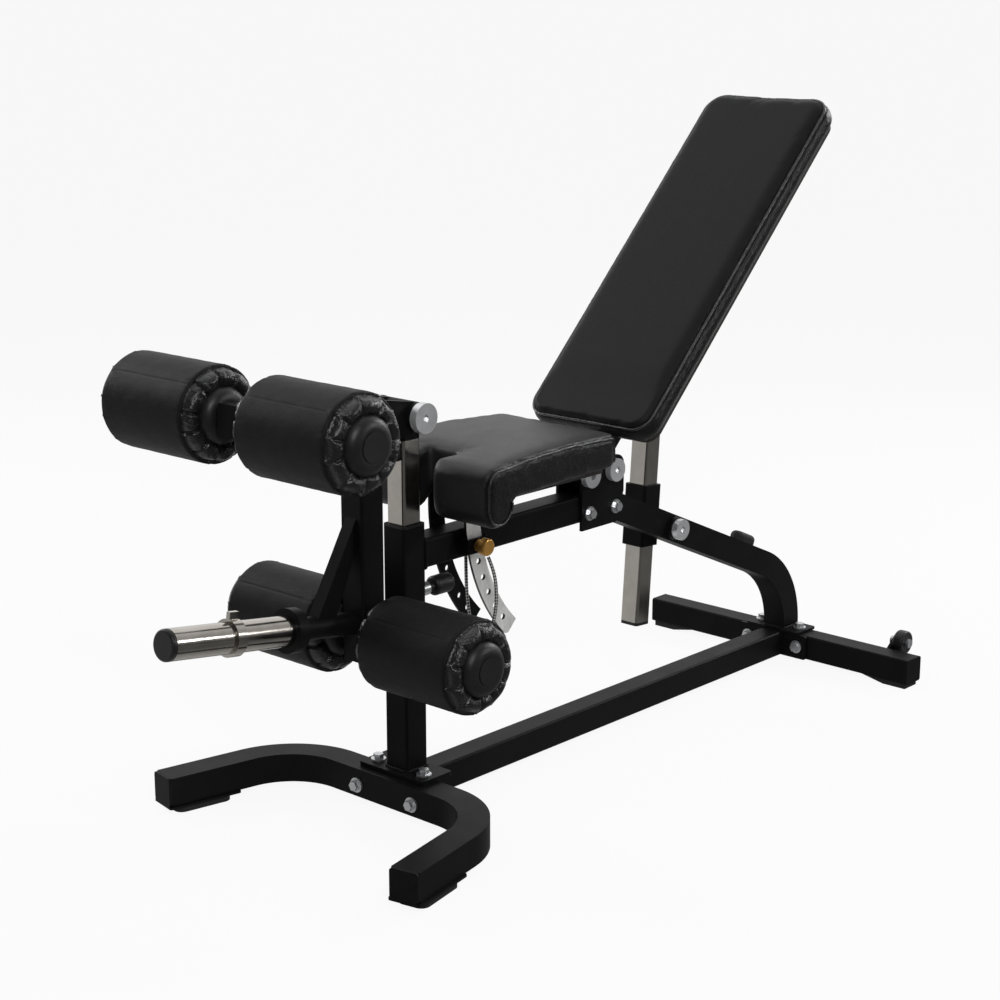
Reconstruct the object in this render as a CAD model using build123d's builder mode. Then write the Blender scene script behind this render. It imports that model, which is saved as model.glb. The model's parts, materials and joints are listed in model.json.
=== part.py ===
"""Adjustable weight bench with a leg developer, millimetres, +Z up.

+X runs from the leg developer towards the backrest and y = 0 is the middle of the bench.
Lengths along X are given from the axis of the front upright.
"""
import os
from math import asin, atan2, cos, hypot, pi, radians, sin, tan

from build123d import *

os.makedirs("parts", exist_ok=True)

# Tubes
TUBE = 50
TUBE_WALL = 3
TUBE_CORNER = 5
POST = 40
POST_CLEARANCE = 0.4
SOLE = 10
CAP_LIP = 6
CAP_GAP = 0.3
BOLT_R = 5
BOLT_HOLE_R = 5.2
HEAD_R = 9
HEAD_HEIGHT = 8
WASHER_R = 13
WASHER = 3
RUNNING_FIT = 0.06

# Horseshoe front foot
HORSESHOE_WIDTH = 52
HORSESHOE_HEIGHT = 50
HORSESHOE_BACK_X = -29
HORSESHOE_FLAT = 125
HORSESHOE_RADIUS = 131
HORSESHOE_TURN = 78.6
HORSESHOE_LEG = 160
FRONT_PAD = 10
FRONT_PAD_LENGTH = 104
FRONT_PAD_INSET = 3
FOOT_PLATE = 4
FOOT_PLATE_LIP = 4
FOOT_PLATE_LENGTH = 136
FOOT_BOLT_Y = 65

# Front upright and the leg post in it
BASE_PLATE_LENGTH = 72
BASE_PLATE_WIDTH = 150
BASE_PLATE = 8
BASE_PLATE_X = -4
BASE_BOLT_X = -14
BASE_BOLT_Y = 54
UPRIGHT_TOP = 492
BUSHING = 4
POST_BOTTOM = 190
POST_TOP = 638
POST_HOLE_PITCH = 25
POST_HOLES = 7
POST_HOLES_BELOW = 2
POST_WALL = 2.5
POST_HOLE_R = 5.5
POST_PIN_Z = 373

# Spines, rear leg and rear foot
TOP_SPINE_TOP = 467
TOP_SPINE_END = 468
REAR_LEG_X = 1100
REAR_LEG_START_X = 483
REAR_LEG_START_Z = 447
REAR_LEG_BEND = 165
REAR_LEG_FOOT = 3.5
REAR_FLANGE = 5
REAR_FLANGE_LENGTH = 64
REAR_FLANGE_WIDTH = 128
REAR_FLANGE_BOLT_Y = 46
REAR_FOOT_HALF = 312
REAR_PAD_LENGTH = 100
REAR_PAD_INSET = 4
SPINE_FLANGE = 5
SPINE_FLANGE_HALF = 82
SPINE_FLANGE_BOLT_Y = 60
BUMPER_ALONG = 500
BUMPER_LENGTH = 64
BUMPER_WIDTH = 30
BUMPER_HEIGHT = 20

# Transport wheel behind the rear foot
WHEEL_R = 24
WHEEL_WIDTH = 22
WHEEL_INSET = 56
WHEEL_Z = 67
WHEEL_OUT = 31
WHEEL_GAP = 1
AXLE_R = 5
EAR = 6
EAR_HEIGHT = 30

# Pivot brackets
BRACKET = 6
BRACKET_FRONT_X = 418
BRACKET_BACK_X = 535
BRACKET_BOTTOM = 403
BRACKET_TOP = 528
BRACKET_BOLT_Z = 433
BRACKET_BOLT_X = (438, 511)
SEAT_PIVOT_X = 434.5
BACK_PIVOT_X = 503
PIVOT_Z = 503
PIVOT_R = 8
BARREL_R = 20
BARREL_GAP = 0.4
DISC_R = 21
DISC = 12
SOCKET_R = 7
SOCKET_DEPTH = 6

# Leg developer
ARM_PIVOT_X = -4
ARM_PIVOT_Z = 679
KNUCKLE_R = 24
ARM_PIVOT_R = 10
ARM_PLATE = 8
KNUCKLE_OUT = 11
ARM_DISC_R = 25
ARM_DISC = 14
ARM_X = -95
ARM_BOTTOM = 286
UPPER_ROLLER_Z = 720
ROLLER_ARM_TILT = 5.7
ROLLER_ARM_END = -368
UPPER_ROLLER_X = -335
LOWER_ROLLER_Z = 326
BAR_R = 12.5
BAR_HALF = 264
ROLLER_R = 77
ROLLER_INNER_Y = 52
ROLLER_LENGTH = 208
ROLLER_ROUND = 15
ROLLER_CAP_R = 46
ROLLER_CAP_HEIGHT = 19
ROLLER_CAP_DISC_R = 23
ROLLER_CAP_DISC = 1.6
ROLLER_CAP_BULGE = 0.72
COLLAR_R = 18
COLLAR_GAP = 0.3
STOP_Z = 616
STOP_R = 14
STOP_GAP = 0.3

# Weight horn
HORN_RISE = 8.2
HORN_ROOT_Z = 351
HORN_CORE_R = 19
HORN_R = 25
HORN_COLLAR_R = 36
HORN_COLLAR = 20
HORN_COLLAR_AT = 126
HORN_END_AT = 382
HORN_CAP = 9
CLIP_AT = 250
CLIP_WIDTH = 18
CLIP_WALL = 5
HORN_GROOVE = 3
HORN_GROOVE_DEPTH = 0.5
CLIP_TAB = 22
CLIP_TAB_WIDTH = 8
BRACE_TOP_Z = 528
BRACE_HEIGHT = 50
BRACE_BACK = 54
BRACE_FRONT = 95
HORN_FIT = 0.3
BRACE_WIDTH = 24

# Seat
SEAT_FRONT_X = 26
SEAT_BACK_X = 391
SEAT_FRONT_HALF = 166
SEAT_BACK_HALF = 136
SEAT_NOTCH_HALF = 36
SEAT_CORNER = 13
SEAT_REAR_CORNER = 16
SEAT_TOP = 607
SEAT_CROWN = 8
SEAT_LOBE_BOTTOM = 502
SEAT_LOBE_GAP = 5.5
SEAT_ROUND = 0.46
SEAT_FRONT_ROUND = 26
SEAT_REAR_ROUND = 7
SEAT_DRAW = 3
BOARD = 12
SEAT_BOARD_Z = 534
SEAT_BOARD_MARGIN = 16
STRIP_R = 316
STRIP_WIDTH = 34
STRIP = 5
STRIP_Y = 39
STRIP_TOP_ANGLE = -5
STRIP_END_ANGLE = 46
STRIP_PIN_ANGLE = 11.2
STRIP_HOLE_STEP = 5.8
STRIP_HOLES = 6
STRIP_HOLE_R = 5.5
STRIP_PLATE = 6
STRIP_PLATE_LENGTH = 50
GUIDE = 4
GUIDE_HEIGHT = 26
GUIDE_GAP = 3
GUIDE_HALF = 25.5

# Backrest
BACK_ANGLE = 45
BACK_LENGTH = 784
BACK_WIDTH = 286
BACK_START = 26
BACK_CORNER = 40
BACK_BOARD_N = 46
BACK_BOARD_MARGIN = 14
BACK_PAD = 45
BACK_DRAW = 7
BACK_EDGE = 12
BACK_RAIL_END = 640
LUG = 8
LUG_R = 20
LUG_ROOT = 90
BACK_RAIL_START = -12

# Strut of the backrest
STRUT_Y = 52
STRUT_TILT = 4.1
STRUT_BELOW_LUG = 464
STRUT_ABOVE_LUG = 22
STRUT_HOLES = 8
STRUT_HOLE_PITCH = 30
STRUT_HOLES_BELOW = 3
SLEEVE_ALONG = 229
SLEEVE_LENGTH = 118
SLEEVE_RISE = 14
SHAFT_R = 10
SHAFT_BOSS_R = 22
SHAFT_BOSS = 12
SHAFT_GAP = 0.3
SHAFT_DISC_R = 20
SHAFT_DISC = 12
LUG_BOLT_R = 8
LUG_HEAD_R = 13
LUG_HEAD = 8

# Sprung pull pins
PIN_R = 5
PIN_GAP = 0.5
HOUSING_R = 12
HOUSING = 26
KNOB_R = 17
KNOB = 42
KNOB_NECK = 12
KNOB_NECK_R = 9
KNOB_ROUND = 6
SEAT_PIN_R = 4.5
SEAT_BUSHING_R = 11
SEAT_BUSHING = 8
SEAT_KNOB_R = 15
SEAT_KNOB = 16

# Lanyard of the seat pin
LANYARD_R = 3
LANYARD_ARC = 0.45

# Derived heights and places
half = TUBE / 2
plate_y = half + BRACKET
rear_foot_back = REAR_LEG_X + half
horn_rise = radians(HORN_RISE)
horn_tip = (HORN_END_AT + HORN_CAP / 2) * cos(horn_rise) + (HORN_R - HORN_CAP / 2) * sin(horn_rise)
front_reach = half - ARM_X + horn_tip + HORN_CAP / 2
rear_reach = rear_foot_back + WHEEL_OUT + WHEEL_R
UPRIGHT_X = (front_reach - rear_reach) / 2
horseshoe_bottom = FRONT_PAD + FOOT_PLATE
horseshoe_top = horseshoe_bottom + HORSESHOE_HEIGHT
base_plate_top = horseshoe_top + BASE_PLATE
foot_top = SOLE + TUBE
flange_top = foot_top + REAR_FLANGE
spine_z = TOP_SPINE_TOP - half
post_bore = POST + 2 * POST_CLEARANCE

TOP = Plane((UPRIGHT_X, 0, 0))
SIDE = Plane((UPRIGHT_X, 0, 0), x_dir=(1, 0, 0), z_dir=(0, -1, 0))
FACE = Plane((UPRIGHT_X, 0, 0), x_dir=(0, 1, 0), z_dir=(1, 0, 0))


def level(z):
    """Horizontal plane at height z, extruding upwards."""
    return TOP.offset(z)


def side(y):
    """Lengthwise plane at width y, extruding towards -Y."""
    return SIDE.offset(-y)


def across(x):
    """Crosswise plane at x from the upright, extruding towards +X."""
    return FACE.offset(x)


def tube_profile(width, height, wall=TUBE_WALL):
    """Rounded square tube section in the current sketch."""
    RectangleRounded(width, height, TUBE_CORNER)
    RectangleRounded(width - 2 * wall, height - 2 * wall, TUBE_CORNER - wall / 2, mode=Mode.SUBTRACT)


def rod(x, z, y, length, radius, mode=Mode.ADD):
    """Crosswise cylinder from width y towards -Y in the current part."""
    with BuildSketch(side(y)) as section:
        with Locations((x, z)):
            Circle(radius)
    extrude(section.sketch, amount=length, mode=mode)


def bolt_head(plane, x, y):
    """Hexagon head on its washer, standing on a plane in the current part."""
    with BuildSketch(plane) as washer:
        with Locations((x, y)):
            Circle(WASHER_R)
    extrude(washer.sketch, amount=WASHER)
    with BuildSketch(plane.offset(WASHER)) as head:
        with Locations((x, y)):
            RegularPolygon(HEAD_R, 6)
    extrude(head.sketch, amount=HEAD_HEIGHT)


def pivot_bolt(x, z, reach, shaft_r, disc_r, disc):
    """Crosswise shaft with a socketed disc on each end, from -reach to reach, in the current part."""
    rod(x, z, reach, 2 * reach, shaft_r)
    rod(x, z, reach + disc, disc, disc_r)
    rod(x, z, -reach, disc, disc_r)
    for y in (reach + disc, SOCKET_DEPTH - reach - disc):
        with BuildSketch(side(y)) as socket:
            with Locations((x, z)):
                RegularPolygon(SOCKET_R, 6)
        extrude(socket.sketch, amount=SOCKET_DEPTH, mode=Mode.SUBTRACT)


def pull_pin(plane, depth):
    """Pin and knob along a plane's normal in the current part, with the nose at a depth below the plane."""
    knob_foot = HOUSING + PIN_GAP
    with BuildSketch(plane.offset(-depth)) as nose:
        Circle(PIN_R)
    extrude(nose.sketch, amount=depth + knob_foot)
    with BuildSketch(plane.offset(knob_foot)) as neck:
        Circle(KNOB_NECK_R)
    extrude(neck.sketch, amount=KNOB_NECK)
    with BuildSketch(plane.offset(knob_foot + KNOB_NECK)) as knob:
        Circle(KNOB_R)
    extrude(knob.sketch, amount=KNOB)
    fillet(edges().filter_by(GeomType.CIRCLE).group_by(SortBy.RADIUS)[-1], KNOB_ROUND)


def pin_housing(plane):
    """Threaded barrel that guides a pull pin, standing on a plane, in the current part."""
    with BuildSketch(plane) as barrel:
        Circle(HOUSING_R)
        Circle(PIN_R + RUNNING_FIT, mode=Mode.SUBTRACT)
    extrude(barrel.sketch, amount=HOUSING)


def keep(piece, name):
    """Label a finished piece and write it."""
    piece.part.label = name
    export_step(piece.part, f"parts/{name}.step")


# Front foot
def horseshoe_line(leg):
    """Middle line of the front foot, with legs of a given length."""
    with BuildLine() as middle:
        back = Line((HORSESHOE_BACK_X, 0), (HORSESHOE_BACK_X, HORSESHOE_FLAT))
        bend = JernArc(back @ 1, back % 1, HORSESHOE_RADIUS, HORSESHOE_TURN)
        Line(bend @ 1, bend @ 1 + (bend % 1) * leg)
        mirror(about=Plane.XZ)
    return middle.line


splay = radians(90 - HORSESHOE_TURN)
outwards = (sin(splay), cos(splay), 0)
tip_x = HORSESHOE_BACK_X - HORSESHOE_RADIUS * (1 - sin(splay)) - HORSESHOE_LEG * cos(splay)
tip_y = HORSESHOE_FLAT + HORSESHOE_RADIUS * cos(splay) + HORSESHOE_LEG * sin(splay)
tip_z = horseshoe_bottom + HORSESHOE_HEIGHT / 2
TIP = Plane((UPRIGHT_X + tip_x, tip_y, tip_z), x_dir=outwards, z_dir=(-cos(splay), sin(splay), 0))
TIP_FLOOR = Plane((UPRIGHT_X + tip_x, tip_y, 0), x_dir=outwards, z_dir=(0, 0, 1))

with BuildPart() as front_foot:
    with BuildSketch(level(horseshoe_bottom)):
        trace(horseshoe_line(HORSESHOE_LEG), line_width=HORSESHOE_WIDTH)
    extrude(amount=HORSESHOE_HEIGHT)
    with BuildSketch(level(horseshoe_bottom + TUBE_WALL)):
        trace(horseshoe_line(HORSESHOE_LEG + CAP_LIP), line_width=HORSESHOE_WIDTH - 2 * TUBE_WALL)
    extrude(amount=HORSESHOE_HEIGHT - 2 * TUBE_WALL, mode=Mode.SUBTRACT)
keep(front_foot, "front_foot")

with BuildPart() as foot_end_caps:
    plug_gap = 2 * (TUBE_WALL + CAP_GAP)
    with BuildSketch(TIP):
        RectangleRounded(HORSESHOE_WIDTH, HORSESHOE_HEIGHT, TUBE_CORNER)
    extrude(amount=CAP_LIP)
    with BuildSketch(TIP):
        RectangleRounded(HORSESHOE_WIDTH - plug_gap, HORSESHOE_HEIGHT - plug_gap, TUBE_CORNER)
    extrude(amount=-2 * CAP_LIP)
    with BuildSketch(side(-REAR_FOOT_HALF)):
        with Locations((REAR_LEG_X, SOLE + half)):
            RectangleRounded(TUBE, TUBE, TUBE_CORNER)
    extrude(amount=CAP_LIP)
    with BuildSketch(side(-REAR_FOOT_HALF)):
        with Locations((REAR_LEG_X, SOLE + half)):
            RectangleRounded(TUBE - plug_gap, TUBE - plug_gap, TUBE_CORNER)
    extrude(amount=-2 * CAP_LIP)
    mirror(about=Plane.XZ)
keep(foot_end_caps, "foot_end_caps")

with BuildPart() as front_foot_plates:
    with BuildSketch(TIP_FLOOR.offset(FRONT_PAD)):
        with Locations((0, CAP_LIP - FOOT_PLATE_LENGTH / 2)):
            RectangleRounded(HORSESHOE_WIDTH + 2 * FOOT_PLATE_LIP, FOOT_PLATE_LENGTH, TUBE_CORNER)
    extrude(amount=FOOT_PLATE)
    mirror(about=Plane.XZ)
keep(front_foot_plates, "front_foot_plates")

with BuildPart() as front_foot_pads:
    pad_width = HORSESHOE_WIDTH + 2 * (FOOT_PLATE_LIP - FRONT_PAD_INSET)
    with BuildSketch(TIP_FLOOR):
        with Locations((0, CAP_LIP - FOOT_PLATE_LENGTH / 2)):
            RectangleRounded(pad_width, FRONT_PAD_LENGTH, 3 * TUBE_CORNER)
    extrude(amount=FRONT_PAD)
    mirror(about=Plane.XZ)
keep(front_foot_pads, "front_foot_pads")

# Front upright
with BuildPart() as front_upright:
    with BuildSketch(level(horseshoe_top)):
        with Locations((BASE_PLATE_X, 0)):
            RectangleRounded(BASE_PLATE_LENGTH, BASE_PLATE_WIDTH, TUBE_CORNER)
        with Locations((BASE_BOLT_X, BASE_BOLT_Y), (BASE_BOLT_X, -BASE_BOLT_Y)):
            Circle(BOLT_HOLE_R, mode=Mode.SUBTRACT)
    extrude(amount=BASE_PLATE)
    with BuildSketch(level(base_plate_top)):
        RectangleRounded(TUBE, TUBE, TUBE_CORNER)
        Rectangle(post_bore, post_bore, mode=Mode.SUBTRACT)
    extrude(amount=UPRIGHT_TOP - base_plate_top)
    with BuildSketch(across(0)):
        with Locations((0, POST_PIN_Z)):
            Circle(PIN_R + RUNNING_FIT)
    extrude(amount=TUBE, mode=Mode.SUBTRACT)
keep(front_upright, "front_upright")

with BuildPart() as upright_bushing:
    with BuildSketch(level(UPRIGHT_TOP)):
        RectangleRounded(TUBE, TUBE, TUBE_CORNER)
        Rectangle(post_bore, post_bore, mode=Mode.SUBTRACT)
    extrude(amount=BUSHING)
keep(upright_bushing, "upright_bushing")

POST_PIN = Plane((UPRIGHT_X + half, 0, POST_PIN_Z), x_dir=(0, 1, 0), z_dir=(1, 0, 0))

with BuildPart() as post_pin_housing:
    pin_housing(POST_PIN)
keep(post_pin_housing, "post_pin_housing")

with BuildPart() as post_pin:
    pull_pin(POST_PIN, half - POST / 2 - PIN_GAP)
keep(post_pin, "post_pin")

# Spines
horseshoe_rear = HORSESHOE_BACK_X + HORSESHOE_WIDTH / 2
rear_foot_front = REAR_LEG_X - half

with BuildPart() as bottom_spine:
    with BuildSketch(across(horseshoe_rear)):
        with Locations((0, SOLE + half)):
            tube_profile(TUBE, TUBE)
    extrude(amount=rear_foot_front - horseshoe_rear)
    for x in (horseshoe_rear, rear_foot_front - SPINE_FLANGE):
        with BuildSketch(across(x)):
            with Locations((0, SOLE + half)):
                RectangleRounded(2 * SPINE_FLANGE_HALF, TUBE, TUBE_CORNER)
        extrude(amount=SPINE_FLANGE)
keep(bottom_spine, "bottom_spine")

with BuildPart() as top_spine:
    with BuildSketch(across(half)):
        with Locations((0, spine_z)):
            tube_profile(TUBE, TUBE)
    extrude(amount=TOP_SPINE_END - half)
    rod(BRACKET_BOLT_X[0], BRACKET_BOLT_Z, half, TUBE, BOLT_HOLE_R, mode=Mode.SUBTRACT)
keep(top_spine, "top_spine")

# Rear leg: a straight run tangent to the bend that ends on the rear foot
bend_x = REAR_LEG_X - REAR_LEG_BEND
bend_z = flange_top + REAR_LEG_FOOT
to_bend = hypot(bend_x - REAR_LEG_START_X, bend_z - REAR_LEG_START_Z)
rear_slope = atan2(REAR_LEG_START_Z - bend_z, bend_x - REAR_LEG_START_X) - asin(REAR_LEG_BEND / to_bend)
rear_run = (to_bend**2 - REAR_LEG_BEND**2) ** 0.5


def rear_leg_point(along):
    """Point on the middle line of the rear leg's straight run."""
    return (REAR_LEG_START_X + along * cos(rear_slope), REAR_LEG_START_Z - along * sin(rear_slope))


SLEEVE_X, SLEEVE_Z = rear_leg_point(SLEEVE_ALONG)

with BuildPart() as rear_leg:
    with BuildLine() as rear_leg_line:
        run = Line((REAR_LEG_START_X, REAR_LEG_START_Z), rear_leg_point(rear_run))
        bend = JernArc(run @ 1, run % 1, REAR_LEG_BEND, -90 + rear_slope * 180 / pi)
        Line(bend @ 1, (REAR_LEG_X, flange_top))
    with BuildSketch(side(0)):
        trace(rear_leg_line.line, line_width=TUBE)
    extrude(amount=half, both=True)
    with BuildSketch(side(0)):
        trace(rear_leg_line.line, line_width=TUBE - 2 * TUBE_WALL)
    extrude(amount=half - TUBE_WALL, both=True, mode=Mode.SUBTRACT)
    with BuildSketch(level(foot_top)):
        with Locations((REAR_LEG_X, 0)):
            RectangleRounded(REAR_FLANGE_LENGTH, REAR_FLANGE_WIDTH, TUBE_CORNER)
    extrude(amount=REAR_FLANGE)
    rod(SLEEVE_X, SLEEVE_Z, -half, SHAFT_BOSS, SHAFT_BOSS_R)
    rod(SLEEVE_X, SLEEVE_Z, half, TUBE + SHAFT_BOSS, SHAFT_R + RUNNING_FIT, mode=Mode.SUBTRACT)
    rod(BRACKET_BOLT_X[1], BRACKET_BOLT_Z, half, TUBE, BOLT_HOLE_R, mode=Mode.SUBTRACT)
keep(rear_leg, "rear_leg")

bumper_x, bumper_z = rear_leg_point(BUMPER_ALONG)
BUMPER = Plane(
    (UPRIGHT_X + bumper_x + half * sin(rear_slope), 0, bumper_z + half * cos(rear_slope)),
    x_dir=(cos(rear_slope), 0, -sin(rear_slope)),
    z_dir=(sin(rear_slope), 0, cos(rear_slope)),
)

with BuildPart() as rear_bumper:
    with BuildSketch(BUMPER):
        SlotOverall(BUMPER_LENGTH, BUMPER_WIDTH)
    extrude(amount=BUMPER_HEIGHT)
    fillet(faces().sort_by(Axis(BUMPER.origin, BUMPER.z_dir))[-1].edges(), BUMPER_HEIGHT / 2)
keep(rear_bumper, "rear_bumper")

# Rear foot and transport wheel
wheel_x = rear_foot_back + WHEEL_OUT
wheel_y = REAR_FOOT_HALF - WHEEL_INSET
wheel_inner = wheel_y - WHEEL_WIDTH / 2
wheel_outer = wheel_y + WHEEL_WIDTH / 2
ear_y = wheel_inner - WHEEL_GAP

with BuildPart() as rear_foot:
    with BuildSketch(side(REAR_FOOT_HALF)):
        with Locations((REAR_LEG_X, SOLE + half)):
            tube_profile(TUBE, TUBE)
    extrude(amount=2 * REAR_FOOT_HALF)
    with BuildSketch(side(EAR - ear_y)):
        with Locations((wheel_x, WHEEL_Z)):
            Circle(2 * AXLE_R)
        with Locations((rear_foot_back, foot_top - TUBE_CORNER - EAR_HEIGHT / 2)):
            Rectangle(TUBE_WALL, EAR_HEIGHT)
        make_hull()
        with Locations((wheel_x, WHEEL_Z)):
            Circle(BOLT_HOLE_R, mode=Mode.SUBTRACT)
    extrude(amount=EAR)
keep(rear_foot, "rear_foot")

with BuildPart() as rear_foot_pads:
    with BuildSketch(across(rear_foot_front + REAR_PAD_INSET)):
        with BuildLine():
            Polyline(
                (REAR_FOOT_HALF, 0),
                (REAR_FOOT_HALF, SOLE),
                (REAR_FOOT_HALF - REAR_PAD_LENGTH, SOLE),
                (REAR_FOOT_HALF - REAR_PAD_LENGTH / 2, 0),
                close=True,
            )
        make_face()
    extrude(amount=TUBE - 2 * REAR_PAD_INSET)
    mirror(about=Plane.XZ)
keep(rear_foot_pads, "rear_foot_pads")

with BuildPart() as wheel_axle:
    rod(wheel_x, WHEEL_Z, EAR - ear_y, EAR + WHEEL_WIDTH + 2 * WHEEL_GAP, AXLE_R)
    rod(wheel_x, WHEEL_Z, 2 * EAR - ear_y, EAR, HEAD_R)
    rod(wheel_x, WHEEL_Z, -wheel_outer - WHEEL_GAP, EAR, HEAD_R)
keep(wheel_axle, "wheel_axle")

with BuildPart() as wheel:
    rod(wheel_x, WHEEL_Z, -wheel_inner, WHEEL_WIDTH, WHEEL_R)
    fillet(edges().filter_by(GeomType.CIRCLE), AXLE_R)
    rod(wheel_x, WHEEL_Z, -wheel_inner, WHEEL_WIDTH, AXLE_R + RUNNING_FIT, mode=Mode.SUBTRACT)
keep(wheel, "wheel")

# Pivot brackets
with BuildPart() as bracket_plates:
    with BuildSketch(side(-half)):
        with BuildLine():
            Polyline(
                (BRACKET_FRONT_X, BRACKET_BOTTOM),
                (BRACKET_BACK_X - BARREL_R, BRACKET_BOTTOM),
                (BRACKET_BACK_X, BRACKET_BOLT_Z + half),
                (BRACKET_BACK_X, BRACKET_TOP),
                (BRACKET_FRONT_X, BRACKET_TOP),
                close=True,
            )
        make_face()
        with Locations(*[(x, BRACKET_BOLT_Z) for x in BRACKET_BOLT_X]):
            Circle(BOLT_HOLE_R, mode=Mode.SUBTRACT)
        with Locations((SEAT_PIVOT_X, PIVOT_Z), (BACK_PIVOT_X, PIVOT_Z)):
            Circle(PIVOT_R + RUNNING_FIT, mode=Mode.SUBTRACT)
    extrude(amount=BRACKET)
    fillet(edges().filter_by(Axis.Y).group_by(Axis.Z)[-1], BARREL_R)
    mirror(about=Plane.XZ)
keep(bracket_plates, "bracket_plates")

bolt_z = SOLE + half
TO_FRONT = Plane((UPRIGHT_X, 0, 0), x_dir=(0, -1, 0), z_dir=(-1, 0, 0))

with BuildPart() as frame_bolts:
    bolt_head(level(base_plate_top), BASE_BOLT_X, -BASE_BOLT_Y)
    bolt_head(level(flange_top), REAR_LEG_X, -REAR_FLANGE_BOLT_Y)
    bolt_head(TO_FRONT.offset(HORSESHOE_WIDTH - horseshoe_rear), FOOT_BOLT_Y, bolt_z)
    bolt_head(TO_FRONT.offset(SPINE_FLANGE - rear_foot_front), SPINE_FLANGE_BOLT_Y, bolt_z)
    for x in BRACKET_BOLT_X:
        bolt_head(side(-plate_y), x, BRACKET_BOLT_Z)
    mirror(about=Plane.XZ)
    for x in BRACKET_BOLT_X:
        rod(x, BRACKET_BOLT_Z, plate_y, 2 * plate_y, BOLT_R)
keep(frame_bolts, "frame_bolts")

# Leg post and its pivot
with BuildPart() as leg_post:
    with BuildSketch(level(POST_BOTTOM)):
        tube_profile(POST, POST, POST_WALL)
    extrude(amount=POST_TOP - POST_BOTTOM)
    with BuildSketch(across(0)):
        with Locations((0, POST_PIN_Z)):
            for step in range(POST_HOLES):
                with Locations((0, (step - POST_HOLES_BELOW) * POST_HOLE_PITCH)):
                    Circle(POST_HOLE_R)
    extrude(amount=POST, mode=Mode.SUBTRACT)
keep(leg_post, "leg_post")

knuckle_half = half - BARREL_GAP

with BuildPart() as post_knuckle:
    with BuildSketch(level(POST_TOP)):
        RectangleRounded(POST, POST, TUBE_CORNER)
    extrude(amount=ARM_PIVOT_Z - POST_TOP)
    rod(ARM_PIVOT_X, ARM_PIVOT_Z, knuckle_half, 2 * knuckle_half, KNUCKLE_R)
    rod(ARM_PIVOT_X, ARM_PIVOT_Z, half, TUBE, ARM_PIVOT_R + RUNNING_FIT, mode=Mode.SUBTRACT)
keep(post_knuckle, "post_knuckle")

# Swing arm
arm_front = ARM_X - half
arm_back = ARM_X + half
arm_tilt = radians(ROLLER_ARM_TILT)
arm_joint_z = UPPER_ROLLER_Z - (ARM_X - UPPER_ROLLER_X) * tan(arm_tilt)
arm_ahead = (ARM_X - ROLLER_ARM_END) / cos(arm_tilt)
ROLLER_ARM = Plane(
    (UPRIGHT_X + ARM_X, 0, arm_joint_z), x_dir=(0, 1, 0), z_dir=(-cos(arm_tilt), 0, sin(arm_tilt))
)
arm_reach = half + ARM_PLATE + KNUCKLE_OUT

with BuildPart() as swing_arm:
    with BuildSketch(level(ARM_BOTTOM)):
        with Locations((ARM_X, 0)):
            tube_profile(TUBE, TUBE)
    extrude(amount=arm_joint_z - ARM_BOTTOM)
    with BuildSketch(ROLLER_ARM):
        Rectangle(TUBE, TUBE)
    extrude(amount=TUBE, both=True, mode=Mode.SUBTRACT)
    rod(ARM_X, LOWER_ROLLER_Z, half, TUBE, BAR_R + RUNNING_FIT, mode=Mode.SUBTRACT)
keep(swing_arm, "swing_arm")

with BuildPart() as roller_arm:
    with BuildSketch(ROLLER_ARM.offset(-half)):
        tube_profile(TUBE, TUBE)
    extrude(amount=arm_ahead + half)
    with BuildSketch(ROLLER_ARM.offset(arm_ahead - TUBE_WALL)):
        RectangleRounded(TUBE, TUBE, TUBE_CORNER)
    extrude(amount=TUBE_WALL)
    rod(UPPER_ROLLER_X, UPPER_ROLLER_Z, half, TUBE, BAR_R + RUNNING_FIT, mode=Mode.SUBTRACT)
keep(roller_arm, "roller_arm")

with BuildPart() as arm_plates:
    with BuildSketch(side(-half)):
        with Locations((ARM_PIVOT_X, ARM_PIVOT_Z)):
            Circle(KNUCKLE_R)
        with Locations((ARM_X, ARM_PIVOT_Z)):
            Rectangle(TUBE, 3 * KNUCKLE_R)
        make_hull()
    extrude(amount=ARM_PLATE)
    boss_length = ARM_PLATE + KNUCKLE_OUT
    rod(ARM_PIVOT_X, ARM_PIVOT_Z, -half, boss_length, KNUCKLE_R)
    rod(ARM_PIVOT_X, ARM_PIVOT_Z, -half, boss_length, ARM_PIVOT_R + RUNNING_FIT, mode=Mode.SUBTRACT)
    mirror(about=Plane.XZ)
keep(arm_plates, "arm_plates")

with BuildPart() as arm_pivot_bolt:
    pivot_bolt(ARM_PIVOT_X, ARM_PIVOT_Z, arm_reach, ARM_PIVOT_R, ARM_DISC_R, ARM_DISC)
keep(arm_pivot_bolt, "arm_pivot_bolt")

with BuildPart() as arm_stop:
    with BuildSketch(across(arm_back)):
        with Locations((0, STOP_Z)):
            Circle(STOP_R)
    extrude(amount=-POST / 2 - STOP_GAP - arm_back)
keep(arm_stop, "arm_stop")

# Rollers
inner_cap_y = ROLLER_INNER_Y - ROLLER_CAP_HEIGHT
roller_outer_y = ROLLER_INNER_Y + ROLLER_LENGTH

with BuildPart() as roller_bars:
    for x, z in ((UPPER_ROLLER_X, UPPER_ROLLER_Z), (ARM_X, LOWER_ROLLER_Z)):
        rod(x, z, BAR_HALF, 2 * BAR_HALF, BAR_R)
        rod(x, z, inner_cap_y - COLLAR_GAP, inner_cap_y - COLLAR_GAP - half, COLLAR_R)
        rod(x, z, -half, inner_cap_y - COLLAR_GAP - half, COLLAR_R)
keep(roller_bars, "roller_bars")


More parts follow.
